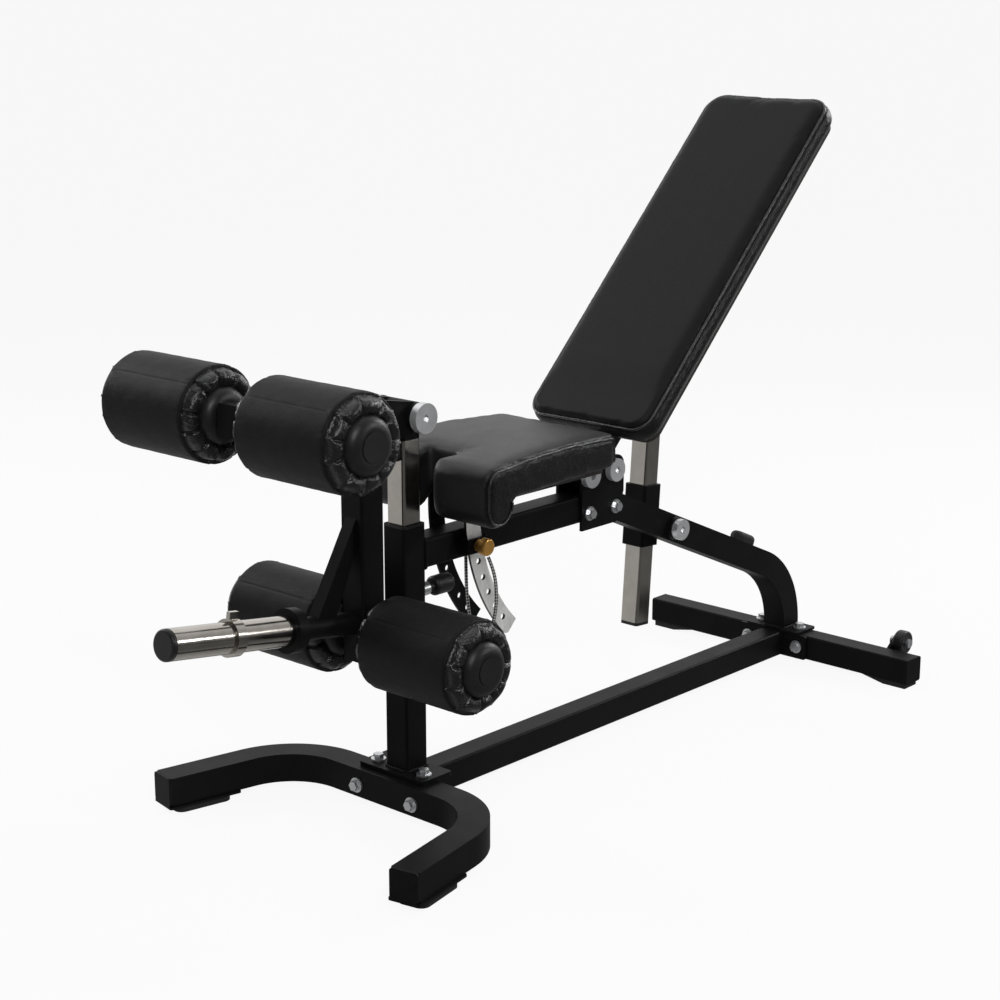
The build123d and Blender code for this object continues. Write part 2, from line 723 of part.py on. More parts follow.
def end_cap(plane, face, out, depth):
    """Domed cap on a roller's end at face, swelling towards out, with a bore of a depth."""
    bore = BAR_R + RUNNING_FIT
    top = face + out * ROLLER_CAP_HEIGHT
    rim = top - out * ROLLER_CAP_DISC
    floor = face + out * depth
    swell_x = face + ROLLER_CAP_BULGE * (rim - face)
    swell_r = ROLLER_CAP_DISC_R + ROLLER_CAP_BULGE * (ROLLER_CAP_R - ROLLER_CAP_DISC_R)
    crown = [(top, bore)] if depth == ROLLER_CAP_HEIGHT else [(top, 0), (floor, 0), (floor, bore)]
    with BuildSketch(plane) as section:
        with BuildLine():
            ThreePointArc((face, ROLLER_CAP_R), (swell_x, swell_r), (rim, ROLLER_CAP_DISC_R))
            disc = [(rim, ROLLER_CAP_DISC_R), (top, ROLLER_CAP_DISC_R)]
            Polyline(*disc, *crown, (face, bore), (face, ROLLER_CAP_R))
        make_face()
    revolve(section.sketch, axis=Axis(plane.origin, (0, 1, 0)))


roller_rows = (("upper", UPPER_ROLLER_X, UPPER_ROLLER_Z), ("lower", ARM_X, LOWER_ROLLER_Z))
for row, roller_x, roller_z in roller_rows:
    for hand, out in (("near", -1), ("far", 1)):
        roller_plane = Plane((UPRIGHT_X + roller_x, 0, roller_z), x_dir=(0, out, 0), z_dir=(out, 0, 0))
        spin = Axis(roller_plane.origin, (0, 1, 0))
        with BuildPart() as roller:
            with BuildSketch(roller_plane):
                with BuildLine():
                    Polyline(
                        (ROLLER_INNER_Y, BAR_R + RUNNING_FIT),
                        (ROLLER_INNER_Y, ROLLER_R),
                        (roller_outer_y, ROLLER_R),
                        (roller_outer_y, BAR_R + RUNNING_FIT),
                        close=True,
                    )
                make_face()
                fillet(vertices().group_by(Axis.Y)[-1], ROLLER_ROUND)
            revolve(axis=spin)
        keep(roller, f"roller_{row}_{hand}")
        with BuildPart() as roller_caps:
            end_cap(roller_plane, ROLLER_INNER_Y, -1, ROLLER_CAP_HEIGHT)
            end_cap(roller_plane, roller_outer_y, 1, BAR_HALF - roller_outer_y + COLLAR_GAP)
        keep(roller_caps, f"roller_caps_{row}_{hand}")

# Weight horn
HORN = Plane(
    (UPRIGHT_X + arm_front, 0, HORN_ROOT_Z),
    x_dir=(sin(horn_rise), 0, cos(horn_rise)),
    z_dir=(-cos(horn_rise), 0, sin(horn_rise)),
)
collar_end = HORN_COLLAR_AT + HORN_COLLAR

with BuildPart() as horn_core:
    with BuildSketch(HORN.offset(-HORN_CORE_R)):
        Circle(HORN_CORE_R)
    extrude(amount=HORN_END_AT + HORN_CORE_R)
    with BuildSketch(HORN.offset(HORN_COLLAR_AT)):
        Circle(HORN_COLLAR_R)
    extrude(amount=HORN_COLLAR)
    with BuildSketch(across(arm_front)):
        with Locations((0, HORN_ROOT_Z)):
            Rectangle(TUBE, 2 * TUBE)
    extrude(amount=TUBE, mode=Mode.SUBTRACT)
keep(horn_core, "horn_core")

with BuildPart() as horn_sleeve:
    with BuildSketch(HORN.offset(collar_end)):
        Circle(HORN_R)
        Circle(HORN_CORE_R + HORN_FIT, mode=Mode.SUBTRACT)
    extrude(amount=HORN_END_AT - collar_end)
    with BuildSketch(HORN.offset(CLIP_AT + CLIP_WIDTH)):
        Circle(HORN_R)
        Circle(HORN_R - HORN_GROOVE_DEPTH, mode=Mode.SUBTRACT)
    extrude(amount=HORN_GROOVE, mode=Mode.SUBTRACT)
keep(horn_sleeve, "horn_sleeve")

with BuildPart() as horn_cap:
    with BuildSketch(HORN.offset(HORN_END_AT)):
        Circle(HORN_R)
    extrude(amount=HORN_CAP)
    fillet(faces().sort_by(Axis(HORN.origin, HORN.z_dir))[-1].edges(), HORN_CAP / 2)
keep(horn_cap, "horn_cap")

with BuildPart() as horn_clip:
    with BuildSketch(HORN.offset(CLIP_AT)):
        Circle(HORN_R + CLIP_WALL)
        with Locations((HORN_R + CLIP_WALL, 0)):
            Rectangle(CLIP_TAB, CLIP_TAB_WIDTH)
        Circle(HORN_R + RUNNING_FIT, mode=Mode.SUBTRACT)
    extrude(amount=CLIP_WIDTH)
keep(horn_clip, "horn_clip")


def horn_axis(back):
    """Point on the horn's axis at a distance in front of the swing arm."""
    return (arm_front - back, HORN_ROOT_Z + back * tan(horn_rise))


with BuildPart() as horn_brace:
    with BuildSketch(side(0)):
        with BuildLine():
            Polyline(
                (arm_front, BRACE_TOP_Z),
                (arm_front, BRACE_TOP_Z - BRACE_HEIGHT),
                horn_axis(BRACE_BACK),
                horn_axis(BRACE_FRONT),
                close=True,
            )
        make_face()
    extrude(amount=BRACE_WIDTH / 2, both=True)
    with BuildSketch(HORN):
        Circle(HORN_CORE_R + HORN_FIT)
    extrude(amount=HORN_COLLAR_AT, mode=Mode.SUBTRACT)
keep(horn_brace, "horn_brace")

# Seat
rail_z = SEAT_BOARD_Z - POST / 2
strip_out = STRIP_Y + STRIP
pad_bottom = SEAT_BOARD_Z + BOARD


def on_strip(angle, radius=STRIP_R):
    """Point of the strips' arc at an angle below the seat pivot, in front of it."""
    return (SEAT_PIVOT_X - radius * cos(radians(angle)), PIVOT_Z - radius * sin(radians(angle)))


pin_x, pin_z = on_strip(STRIP_PIN_ANGLE)
strip_inner_r = STRIP_R - STRIP_WIDTH / 2
strip_outer_r = STRIP_R + STRIP_WIDTH / 2
lobe_back = SEAT_PIVOT_X - strip_outer_r - SEAT_LOBE_GAP
strip_mid_angle = (STRIP_TOP_ANGLE + STRIP_END_ANGLE) / 2
strip_top_x = SEAT_PIVOT_X - strip_outer_r

with BuildPart() as seat_frame:
    with BuildSketch(across(strip_top_x)):
        with Locations((0, rail_z)):
            tube_profile(POST, POST)
    extrude(amount=SEAT_PIVOT_X - strip_top_x)
    with BuildSketch(level(SEAT_BOARD_Z - STRIP_PLATE)):
        with Locations((strip_top_x + STRIP_PLATE_LENGTH / 2, 0)):
            Rectangle(STRIP_PLATE_LENGTH, 2 * strip_out)
    extrude(amount=STRIP_PLATE)
    rod(SEAT_PIVOT_X, PIVOT_Z, knuckle_half, 2 * knuckle_half, BARREL_R)
    rod(SEAT_PIVOT_X, PIVOT_Z, half, TUBE, PIVOT_R + RUNNING_FIT, mode=Mode.SUBTRACT)
keep(seat_frame, "seat_frame")

for name, strip_y in (("seat_strip_near", -STRIP_Y), ("seat_strip_far", strip_out)):
    with BuildPart() as strip:
        with BuildSketch(side(strip_y)):
            with BuildLine():
                outer = ThreePointArc(
                    on_strip(STRIP_TOP_ANGLE, strip_outer_r),
                    on_strip(strip_mid_angle, strip_outer_r),
                    on_strip(STRIP_END_ANGLE, strip_outer_r),
                )
                inner = ThreePointArc(
                    on_strip(STRIP_TOP_ANGLE, strip_inner_r),
                    on_strip(strip_mid_angle, strip_inner_r),
                    on_strip(STRIP_END_ANGLE, strip_inner_r),
                )
                Line(outer @ 0, inner @ 0)
                Line(outer @ 1, inner @ 1)
            make_face()
            fillet(vertices().group_by(Axis.Y)[0], STRIP_WIDTH / 4)
            for step in range(STRIP_HOLES):
                with Locations(on_strip(STRIP_PIN_ANGLE + step * STRIP_HOLE_STEP)):
                    Circle(STRIP_HOLE_R, mode=Mode.SUBTRACT)
        extrude(amount=STRIP)
        with BuildSketch(level(SEAT_BOARD_Z - STRIP_PLATE)):
            with Locations((pin_x, 0)):
                Rectangle(4 * STRIP_WIDTH, 4 * strip_out)
        extrude(amount=BOARD, mode=Mode.SUBTRACT)
    keep(strip, name)

with BuildPart() as seat_pivot_bolt:
    pivot_bolt(SEAT_PIVOT_X, PIVOT_Z, plate_y, PIVOT_R, DISC_R, DISC)
keep(seat_pivot_bolt, "seat_pivot_bolt")


def seat_outline(inset):
    """Plan of the seat pad drawn in by an inset, with the notch for the leg post."""
    front = SEAT_FRONT_X + inset
    back = SEAT_BACK_X - inset
    front_half = SEAT_FRONT_HALF - inset
    back_half = SEAT_BACK_HALF - inset
    notch_half = SEAT_NOTCH_HALF + inset
    notch_end = lobe_back + inset
    with BuildSketch() as plan:
        with BuildLine():
            Polyline(
                (front, notch_half),
                (front, front_half),
                (back, back_half),
                (back, -back_half),
                (front, -front_half),
                (front, -notch_half),
                (notch_end, -notch_half),
                (notch_end, notch_half),
                close=True,
            )
        make_face()
        fillet(vertices().group_by(Axis.X)[-1], SEAT_REAR_CORNER)
        fillet(vertices().filter_by(lambda corner: corner.X < SEAT_BACK_X / 2), SEAT_CORNER)
    return plan.sketch



with BuildPart() as seat_pad:
    for z, inset in (
        (SEAT_LOBE_BOTTOM, SEAT_DRAW),
        ((SEAT_LOBE_BOTTOM + SEAT_TOP) / 2, 0),
        (SEAT_TOP, SEAT_DRAW),
    ):
        with BuildSketch(level(z)):
            add(seat_outline(inset))
    loft()
    with BuildSketch(side(0)):
        with BuildLine():
            crown = ThreePointArc(
                (SEAT_FRONT_X, SEAT_TOP - SEAT_CROWN),
                ((SEAT_FRONT_X + SEAT_BACK_X) / 2, SEAT_TOP),
                (SEAT_BACK_X, SEAT_TOP - SEAT_CROWN),
            )
            Polyline(
                crown @ 1,
                (SEAT_BACK_X, pad_bottom),
                (lobe_back, pad_bottom),
                (lobe_back, SEAT_LOBE_BOTTOM),
                (SEAT_FRONT_X, SEAT_LOBE_BOTTOM),
                crown @ 0,
            )
        make_face()
        fillet(vertices().group_by(Axis.Y)[0], SEAT_ROUND * (lobe_back - SEAT_FRONT_X))
        fillet(vertices().group_by(Axis.X)[0].sort_by(Axis.Y)[-1], SEAT_FRONT_ROUND)
        fillet(vertices().group_by(Axis.X)[-1].sort_by(Axis.Y)[-1], SEAT_REAR_ROUND)
    extrude(amount=SEAT_FRONT_HALF, both=True, mode=Mode.INTERSECT)
keep(seat_pad, "seat_pad")

with BuildPart() as seat_board:
    with BuildSketch(level(SEAT_BOARD_Z)):
        board_front = lobe_back + SEAT_BOARD_MARGIN
        board_back = SEAT_BACK_X - SEAT_BOARD_MARGIN
        board_half = SEAT_BACK_HALF - SEAT_BOARD_MARGIN
        with Locations(((board_front + board_back) / 2, 0)):
            RectangleRounded(board_back - board_front, 2 * board_half, SEAT_BOARD_MARGIN)
    extrude(amount=BOARD)
keep(seat_board, "seat_board")

# Guides and pull pin of the seat strips
guide_out = strip_out + GUIDE_GAP

with BuildPart() as strip_guides:
    with BuildSketch(level(pin_z - GUIDE_HEIGHT / 2)):
        with Locations((pin_x, -(half + guide_out + GUIDE) / 2)):
            Rectangle(2 * GUIDE_HALF, guide_out + GUIDE - half)
        with Locations((pin_x, -(half + guide_out) / 2)):
            Rectangle(2 * (GUIDE_HALF - GUIDE), guide_out - half, mode=Mode.SUBTRACT)
    extrude(amount=GUIDE_HEIGHT)
    rod(pin_x, pin_z, -guide_out, GUIDE, SEAT_PIN_R + RUNNING_FIT, mode=Mode.SUBTRACT)
    mirror(about=Plane.XZ)
keep(strip_guides, "strip_guides")

guide_face = guide_out + GUIDE
knob_face = guide_face + SEAT_BUSHING + PIN_GAP

with BuildPart() as seat_pin_bushing:
    rod(pin_x, pin_z, -guide_face, SEAT_BUSHING, SEAT_BUSHING_R)
    rod(pin_x, pin_z, -guide_face, SEAT_BUSHING, SEAT_PIN_R + RUNNING_FIT, mode=Mode.SUBTRACT)
keep(seat_pin_bushing, "seat_pin_bushing")

with BuildPart() as seat_pin:
    rod(pin_x, pin_z, -knob_face, SEAT_KNOB, SEAT_KNOB_R)
    fillet(edges().filter_by(GeomType.CIRCLE), SEAT_KNOB / 4)
    rod(pin_x, pin_z, -strip_out - PIN_GAP, knob_face - strip_out, SEAT_PIN_R)
keep(seat_pin, "seat_pin")

# Backrest
lean = radians(BACK_ANGLE)
along = Vector(cos(lean), 0, sin(lean))
off = Vector(-sin(lean), 0, cos(lean))
pivot = Vector(UPRIGHT_X + BACK_PIVOT_X, 0, PIVOT_Z)
BACK = Plane(pivot, x_dir=along, z_dir=off)
back_mid = BACK_START + BACK_LENGTH / 2
rail_n = BACK_BOARD_N - POST / 2
back_pad_n = BACK_BOARD_N + BOARD

# The lug is as far from the backrest pivot as the sleeve pivot is, so the strut turns half as far as the
# backrest and stays in line with its sleeve.
strut_tilt = radians(STRUT_TILT)
to_sleeve = hypot(SLEEVE_X - BACK_PIVOT_X, SLEEVE_Z - PIVOT_Z)
sleeve_angle = atan2(SLEEVE_Z - PIVOT_Z, SLEEVE_X - BACK_PIVOT_X)
lug_angle = -2 * strut_tilt - sleeve_angle
LUG_X = BACK_PIVOT_X + to_sleeve * cos(lug_angle)
LUG_Z = PIVOT_Z + to_sleeve * sin(lug_angle)
lug_u = to_sleeve * cos(lean - lug_angle)
lug_n = -to_sleeve * sin(lean - lug_angle)
lug_y = POST / 2 + LUG

with BuildPart() as back_frame:
    with BuildSketch(Plane(pivot + along * BACK_RAIL_START + off * rail_n, x_dir=(0, 1, 0), z_dir=along)):
        tube_profile(POST, POST)
    extrude(amount=BACK_RAIL_END - BACK_RAIL_START)
    rod(BACK_PIVOT_X, PIVOT_Z, knuckle_half, 2 * knuckle_half, BARREL_R)
    rod(BACK_PIVOT_X, PIVOT_Z, half, TUBE, PIVOT_R + RUNNING_FIT, mode=Mode.SUBTRACT)
    with BuildSketch(Plane(pivot + Vector(0, lug_y, 0), x_dir=along, z_dir=(0, -1, 0))):
        with Locations((lug_u, lug_n)):
            Circle(LUG_R)
        with Locations((lug_u, rail_n)):
            Rectangle(LUG_ROOT, POST / 2)
        make_hull()
        with Locations((lug_u, lug_n)):
            Circle(LUG_BOLT_R + RUNNING_FIT, mode=Mode.SUBTRACT)
    extrude(amount=LUG)
keep(back_frame, "back_frame")

with BuildPart() as back_pivot_bolt:
    pivot_bolt(BACK_PIVOT_X, PIVOT_Z, plate_y, PIVOT_R, DISC_R, DISC)
keep(back_pivot_bolt, "back_pivot_bolt")

with BuildPart() as back_board:
    with BuildSketch(BACK.offset(BACK_BOARD_N)):
        with Locations((back_mid, 0)):
            RectangleRounded(
                BACK_LENGTH - 2 * BACK_BOARD_MARGIN,
                BACK_WIDTH - 2 * BACK_BOARD_MARGIN,
                BACK_CORNER - BACK_BOARD_MARGIN,
            )
    extrude(amount=BOARD)
keep(back_board, "back_board")

with BuildPart() as back_pad:
    for n, inset in (
        (0, BACK_DRAW),
        (BACK_PAD / 3, 0),
        (BACK_PAD - BACK_EDGE, BACK_DRAW / 2),
        (BACK_PAD, BACK_DRAW + BACK_EDGE),
    ):
        with BuildSketch(BACK.offset(back_pad_n + n)):
            with Locations((back_mid, 0)):
                RectangleRounded(BACK_LENGTH - 2 * inset, BACK_WIDTH - 2 * inset, BACK_CORNER - inset)
    loft()
keep(back_pad, "back_pad")

# Strut
strut_span = 2 * to_sleeve * sin((lug_angle - sleeve_angle) / 2)
STRUT = Plane(
    (UPRIGHT_X + SLEEVE_X, STRUT_Y, SLEEVE_Z),
    x_dir=(cos(strut_tilt), 0, -sin(strut_tilt)),
    z_dir=(sin(strut_tilt), 0, cos(strut_tilt)),
)
strut_bottom = strut_span - STRUT_BELOW_LUG
strut_near = STRUT_Y - POST / 2
strut_far = STRUT_Y + POST / 2
sleeve_near = STRUT_Y - half
sleeve_far = STRUT_Y + half


def on_strut(distance):
    """Point on the strut's axis at a distance above the sleeve pivot."""
    return (SLEEVE_X + distance * sin(strut_tilt), SLEEVE_Z + distance * cos(strut_tilt))


with BuildPart() as adjust_tube:
    with BuildSketch(STRUT.offset(strut_bottom)):
        tube_profile(POST, POST, POST_WALL)
    extrude(amount=STRUT_BELOW_LUG + STRUT_ABOVE_LUG)
    rod(LUG_X, LUG_Z, strut_far, POST, LUG_BOLT_R + RUNNING_FIT, mode=Mode.SUBTRACT)
    for step in range(STRUT_HOLES):
        hole_x, hole_z = on_strut(SLEEVE_RISE + (step - STRUT_HOLES_BELOW) * STRUT_HOLE_PITCH)
        rod(hole_x, hole_z, strut_far, TUBE_WALL, POST_HOLE_R, mode=Mode.SUBTRACT)
keep(adjust_tube, "adjust_tube")

with BuildPart() as adjust_tube_cap:
    with BuildSketch(STRUT.offset(strut_bottom)):
        RectangleRounded(POST, POST, TUBE_CORNER)
    extrude(amount=-CAP_LIP)
    with BuildSketch(STRUT.offset(strut_bottom)):
        cap_side = POST - 2 * (POST_WALL + CAP_GAP)
        RectangleRounded(cap_side, cap_side, TUBE_CORNER)
    extrude(amount=2 * CAP_LIP)
keep(adjust_tube_cap, "adjust_tube_cap")

with BuildPart() as lug_bolt:
    rod(LUG_X, LUG_Z, POST / 2, LUG_HEAD, LUG_HEAD_R)
    rod(LUG_X, LUG_Z, strut_far + LUG_HEAD, strut_far + LUG_HEAD - POST / 2, LUG_BOLT_R)
    rod(LUG_X, LUG_Z, strut_near - SHAFT_GAP, strut_near - SHAFT_GAP - lug_y, LUG_HEAD_R)
    rod(LUG_X, LUG_Z, strut_far + LUG_HEAD, LUG_HEAD - SHAFT_GAP, LUG_HEAD_R)
keep(lug_bolt, "lug_bolt")

sleeve_pin_x, sleeve_pin_z = on_strut(SLEEVE_RISE)
SLEEVE_PIN = Plane((UPRIGHT_X + sleeve_pin_x, sleeve_far, sleeve_pin_z), x_dir=(1, 0, 0), z_dir=(0, 1, 0))

with BuildPart() as adjust_sleeve:
    with BuildSketch(STRUT.offset(SLEEVE_RISE - SLEEVE_LENGTH / 2)):
        RectangleRounded(TUBE, TUBE, TUBE_CORNER)
        Rectangle(post_bore, post_bore, mode=Mode.SUBTRACT)
    extrude(amount=SLEEVE_LENGTH)
    rod(sleeve_pin_x, sleeve_pin_z, sleeve_far, half - POST / 2, PIN_R + RUNNING_FIT, mode=Mode.SUBTRACT)
keep(adjust_sleeve, "adjust_sleeve")

boss_face = half + SHAFT_BOSS + SHAFT_GAP

with BuildPart() as sleeve_shaft:
    rod(SLEEVE_X, SLEEVE_Z, sleeve_near, sleeve_near + boss_face, SHAFT_R)
    rod(SLEEVE_X, SLEEVE_Z, sleeve_near, sleeve_near - half - SHAFT_GAP, SHAFT_BOSS_R)
    rod(SLEEVE_X, SLEEVE_Z, -boss_face, SHAFT_DISC, SHAFT_DISC_R)
    with BuildSketch(side(SOCKET_DEPTH - boss_face - SHAFT_DISC)):
        with Locations((SLEEVE_X, SLEEVE_Z)):
            RegularPolygon(SOCKET_R, 6)
    extrude(amount=SOCKET_DEPTH, mode=Mode.SUBTRACT)
keep(sleeve_shaft, "sleeve_shaft")

with BuildPart() as sleeve_pin_housing:
    pin_housing(SLEEVE_PIN)
keep(sleeve_pin_housing, "sleeve_pin_housing")

with BuildPart() as sleeve_pin:
    pull_pin(SLEEVE_PIN, half - POST / 2 - PIN_GAP)
keep(sleeve_pin, "sleeve_pin")

# Lanyard from the seat pin's knob to the top spine
lanyard_route = [
    (pin_x, -73, 425.2),
    (126, -82, 408),
    (127.5, -89, 378),
    (128, -88, 338),
    (130, -76, 298),
    (136, -46, 270),
    (143, -15, 292),
    (147, -3, 335),
    (148.5, 0.5, 378),
    (149, 1, 416.7),
]


def bend_radii(route):
    """Arc at each corner of a cord's route, as large as its two runs allow."""
    points = [Vector(*point) for point in route]
    radii = []
    for before, corner, after in zip(points, points[1:], points[2:]):
        turn = radians((corner - before).get_angle(after - corner))
        radii.append(LANYARD_ARC * min((corner - before).length, (after - corner).length) / tan(turn / 2))
    return radii


radii = bend_radii(lanyard_route)
print("lanyard radii", [round(radius) for radius in radii])

with BuildPart() as lanyard:
    with BuildLine(TOP):
        cord = FilletPolyline(*lanyard_route, radius=radii)
    with BuildSketch(Plane(cord @ 0, z_dir=cord % 0)):
        Circle(LANYARD_R)
    sweep(path=cord)
swept = lanyard.part.volume / (pi * LANYARD_R**2 * cord.length)
print("lanyard length", round(cord.length), "volume against its route's", round(swept, 4))
keep(lanyard, "lanyard")
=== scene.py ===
"""Studio scene of the adjustable weight bench: padded vinyl, black tube frame, chrome posts and horn."""

import json
from math import ceil, cos, exp, pi, radians, sin, tan

import bpy
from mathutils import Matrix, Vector, kdtree, noise


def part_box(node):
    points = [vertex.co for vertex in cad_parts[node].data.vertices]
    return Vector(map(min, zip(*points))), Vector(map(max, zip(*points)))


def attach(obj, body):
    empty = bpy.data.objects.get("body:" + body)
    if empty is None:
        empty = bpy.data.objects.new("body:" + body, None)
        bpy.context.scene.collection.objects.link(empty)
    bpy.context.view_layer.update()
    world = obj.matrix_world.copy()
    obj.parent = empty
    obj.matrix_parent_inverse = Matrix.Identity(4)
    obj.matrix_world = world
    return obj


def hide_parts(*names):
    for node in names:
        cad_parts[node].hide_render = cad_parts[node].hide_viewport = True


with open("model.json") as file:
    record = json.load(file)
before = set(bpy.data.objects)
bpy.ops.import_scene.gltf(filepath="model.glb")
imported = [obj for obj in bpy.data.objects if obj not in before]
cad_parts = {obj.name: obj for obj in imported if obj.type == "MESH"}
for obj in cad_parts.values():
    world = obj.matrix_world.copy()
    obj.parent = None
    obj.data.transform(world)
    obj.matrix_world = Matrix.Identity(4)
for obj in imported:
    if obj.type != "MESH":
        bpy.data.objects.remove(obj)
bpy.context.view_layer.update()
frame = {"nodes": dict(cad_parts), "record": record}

scene = bpy.context.scene
nodes = frame["nodes"]

# Places that part.py also uses, in metres, measured along the bench from the front upright
UPRIGHT_X = -0.3350138
PIN_X = 0.1245
BACK_PIVOT = (0.503, 0.503)
BACK_ANGLE = radians(45)
BACK_START = 0.026
BACK_LENGTH = 0.784
BACK_HALF = 0.143
BACK_CORNER = 0.040
BACK_BASE = 0.058
BACK_DEPTH = 0.045
SEAT_FRONT = 0.026
SEAT_REAR = 0.391
SEAT_FRONT_HALF = 0.166
SEAT_REAR_HALF = 0.136
SEAT_NOSE_BACK = 0.096
SEAT_TOP = 0.607
SEAT_CROWN = 0.008
SEAT_UNDER = 0.546
SEAT_NOSE = 0.502
SEAT_NOSE_ROUND = 0.0322
SEAT_FRONT_ROUND = 0.026
SEAT_REAR_ROUND = 0.007
ROLLER_R = 0.077
ROLLER_START = 0.052
ROLLER_LENGTH = 0.208
ROLLER_CAP_R = 0.046
ROLLER_BAR_R = 0.0128
LANYARD_R = 0.003

# Sewn covers: what scene.py adds to the plain solids, in metres, and waves per metre
PAD_VOXEL = 0.0055
PAD_PRESSURE = 4
PAD_FRAMES = 20
PAD_SWELL = 0.004
PAD_SMOOTHING = 3
BACK_GROW = 0.0025
BACK_SEAM_INSET = 0.004
BACK_SEAM_DROP = 0.006
BACK_GATHER = 0.0005
BACK_BEAD = 0.0026
BACK_LOW_FACE = 0.1052
BACK_FLAT_END = 0.08
BACK_FLAT_FADE = 0.09
SEAT_GROW = 0.0020
SEAT_SEAM_INSET = 0.0035
SEAT_UNDER_ROUND = 0.006
SEAT_GATHER = 0.0009
SEAT_BEAD = 0.0019
SEAT_REAR_FLAT = 0.003
SEAM_STEP = 0.003
SEAM_BITE = 0.0016
SEAM_WIDTH = 0.0045
GATHER_FADE = 0.022
GATHER_WAVES = 70
GATHER_FINE_WAVES = 160
STITCH_PITCH = 0.0065
STITCH_PUCKER = 0.10
PIPING_UNEVEN = 0.12
PIPING_WAVES = 90
PIPING_AROUND = 10
BRAID_PITCH = 0.0105
BRAID_AROUND = 24

# Rollers: pleats, the puffed ring at each end and the sewn sleeve between, in the same units
ROLLER_AROUND = 288
PLEATS = 11
PLEAT_DRIFT = 0.3
PLEAT_DEPTH = 0.0052
PLEAT_WIDTH = 0.0026
PLEAT_PUFF = 0.0014
RING_R = 0.0570
RING_HALF = 0.0130
RING_OUT = 0.007
RING_ROWS = 19
RING_SWEEP = 0.89
RING_INNER_DEPTH = 0.008
RING_OUTER_DEPTH = 0.0165
RING_RIPPLE = 0.0008
RING_WRINKLE = 0.0007
RIPPLE_WAVES = 60
WRINKLE_AROUND = 16
WRINKLE_WAVES = 150
GROOVE_START = 0.0115
GROOVE_R = 0.0708
SLEEVE_START = 0.014
SLEEVE_ROUND = 0.0048
SLEEVE_SWEEP = 0.83
SLEEVE_ROWS = 7
SLEEVE_BODY_ROWS = 26
SLEEVE_GATHER = 0.16
SLEEVE_FADE = 0.012
SLEEVE_RIPPLE = 0.0003
SLEEVE_SEAM_ANGLE = 2.35
SLEEVE_SEAM_DEPTH = 0.0010
SLEEVE_SEAM_WIDTH = 0.0016

# Weld beads round the end of a square tube, in metres
WELD_R = 0.0032
WELD_STEP = 0.0009
WELD_STEPS_PER_RIPPLE = 5
WELD_AROUND = 10
TUBE_HALF = 0.0255
TUBE_CORNER = 0.0055


def on_bench(x, y, z):
    """A point given from the front upright's axis, in the frame of the model."""
    return Vector((UPRIGHT_X + x, y, z))


# Camera, at the photograph's place
yaw = radians(42.245)
pitch = radians(-14.162)
focal_in_widths = 2.0783
lens = bpy.data.cameras.new("photo_camera")
lens.sensor_width = 36
lens.lens = lens.sensor_width * focal_in_widths
camera = bpy.data.objects.new("photo_camera", lens)
scene.collection.objects.link(camera)
camera.location = on_bench(-2.33657, -2.33476, 1.3667)
looking = Vector((cos(pitch) * cos(yaw), cos(pitch) * sin(yaw), sin(pitch)))
camera.rotation_euler = looking.to_track_quat("-Z", "Y").to_euler()
scene.camera = camera


class Value:
    """A shader socket: arithmetic on it adds the nodes that do the sum."""

    def __init__(self, finish, socket):
        self.finish = finish
        self.socket = socket

    def sum(self, operation, first, second):
        return self.finish.node("Math", {0: first, 1: second}, operation=operation)

    def __add__(self, other):
        return self.sum("ADD", self, other)

    def __radd__(self, other):
        return self.sum("ADD", other, self)

    def __mul__(self, other):
        return self.sum("MULTIPLY", self, other)

    def __rmul__(self, other):
        return self.sum("MULTIPLY", other, self)

    def __gt__(self, other):
        return self.sum("GREATER_THAN", self, other)

    def __lt__(self, other):
        return self.sum("LESS_THAN", self, other)


class Finish:
    """One node material, or the world's shader, built node by node."""

    def __init__(self, owner):
        self.owner = owner
        owner.use_nodes = True
        self.tree = owner.node_tree
        self.tree.nodes.clear()

    def node(self, kind, sockets=None, out=0, stops=None, **settings):
        """Adds a node: its settings and ramp stops first, then the values or links of its sockets."""
        node = self.tree.nodes.new("ShaderNode" + kind)
        for name, setting in settings.items():
            setattr(node, name, setting)
        if stops:
            ramp = node.color_ramp
            while len(ramp.elements) < len(stops):
                ramp.elements.new(0.5)
            for element, (place, shade) in zip(ramp.elements, stops):
                element.position = place
                element.color = (*shade, 1)
        for name, value in (sockets or {}).items():
            if isinstance(value, Value):
                self.tree.links.new(value.socket, node.inputs[name])
            else:
                node.inputs[name].default_value = value
        return Value(self, node.outputs[out]) if node.outputs else None

    def place(self, stretch=(1, 1, 1)):
        """Position on the piece in metres, stretched."""
        here = self.node("TexCoord", out="Object")
        return self.node("VectorMath", {0: here, 1: stretch}, operation="MULTIPLY")

    def cloud(self, place, size, detail):
        """Soft noise from 0 to 1 with blotches of about a size in metres."""
        sockets = {"Vector": place, "Scale": 1 / size, "Detail": detail, "Roughness": 0.55}
        return self.node("TexNoise", sockets)

    def cells(self, place, size):
        """Distance from the creases of a cell pattern of about a size in metres."""
        sockets = {"Vector": place, "Scale": 1 / size}
        return self.node("TexVoronoi", sockets, feature="DISTANCE_TO_EDGE")

    def relief(self, height, depth, strength, below=None):
        """Normal of a relief, a depth in metres high, on top of the relief below it."""
        sockets = {"Height": height, "Distance": depth, "Strength": strength}
        if below is not None:
            sockets["Normal"] = below
        return self.node("Bump", sockets)

    def shade(self, amount, dark, light, start=0.25, end=0.75):
        """Colour between two shades."""
        return self.node("ValToRGB", {"Fac": amount}, stops=[(start, dark), (end, light)])

    def surface(self, **sockets):
        """Ends the material in one principled surface."""
        names = {name.replace("_", " "): value for name, value in sockets.items()}
        shader = self.node("BsdfPrincipled", names)
        self.node("OutputMaterial", {"Surface": shader})
        return self.owner


def material(name):
    """Finish of a new material."""
    return Finish(bpy.data.materials.new(name))


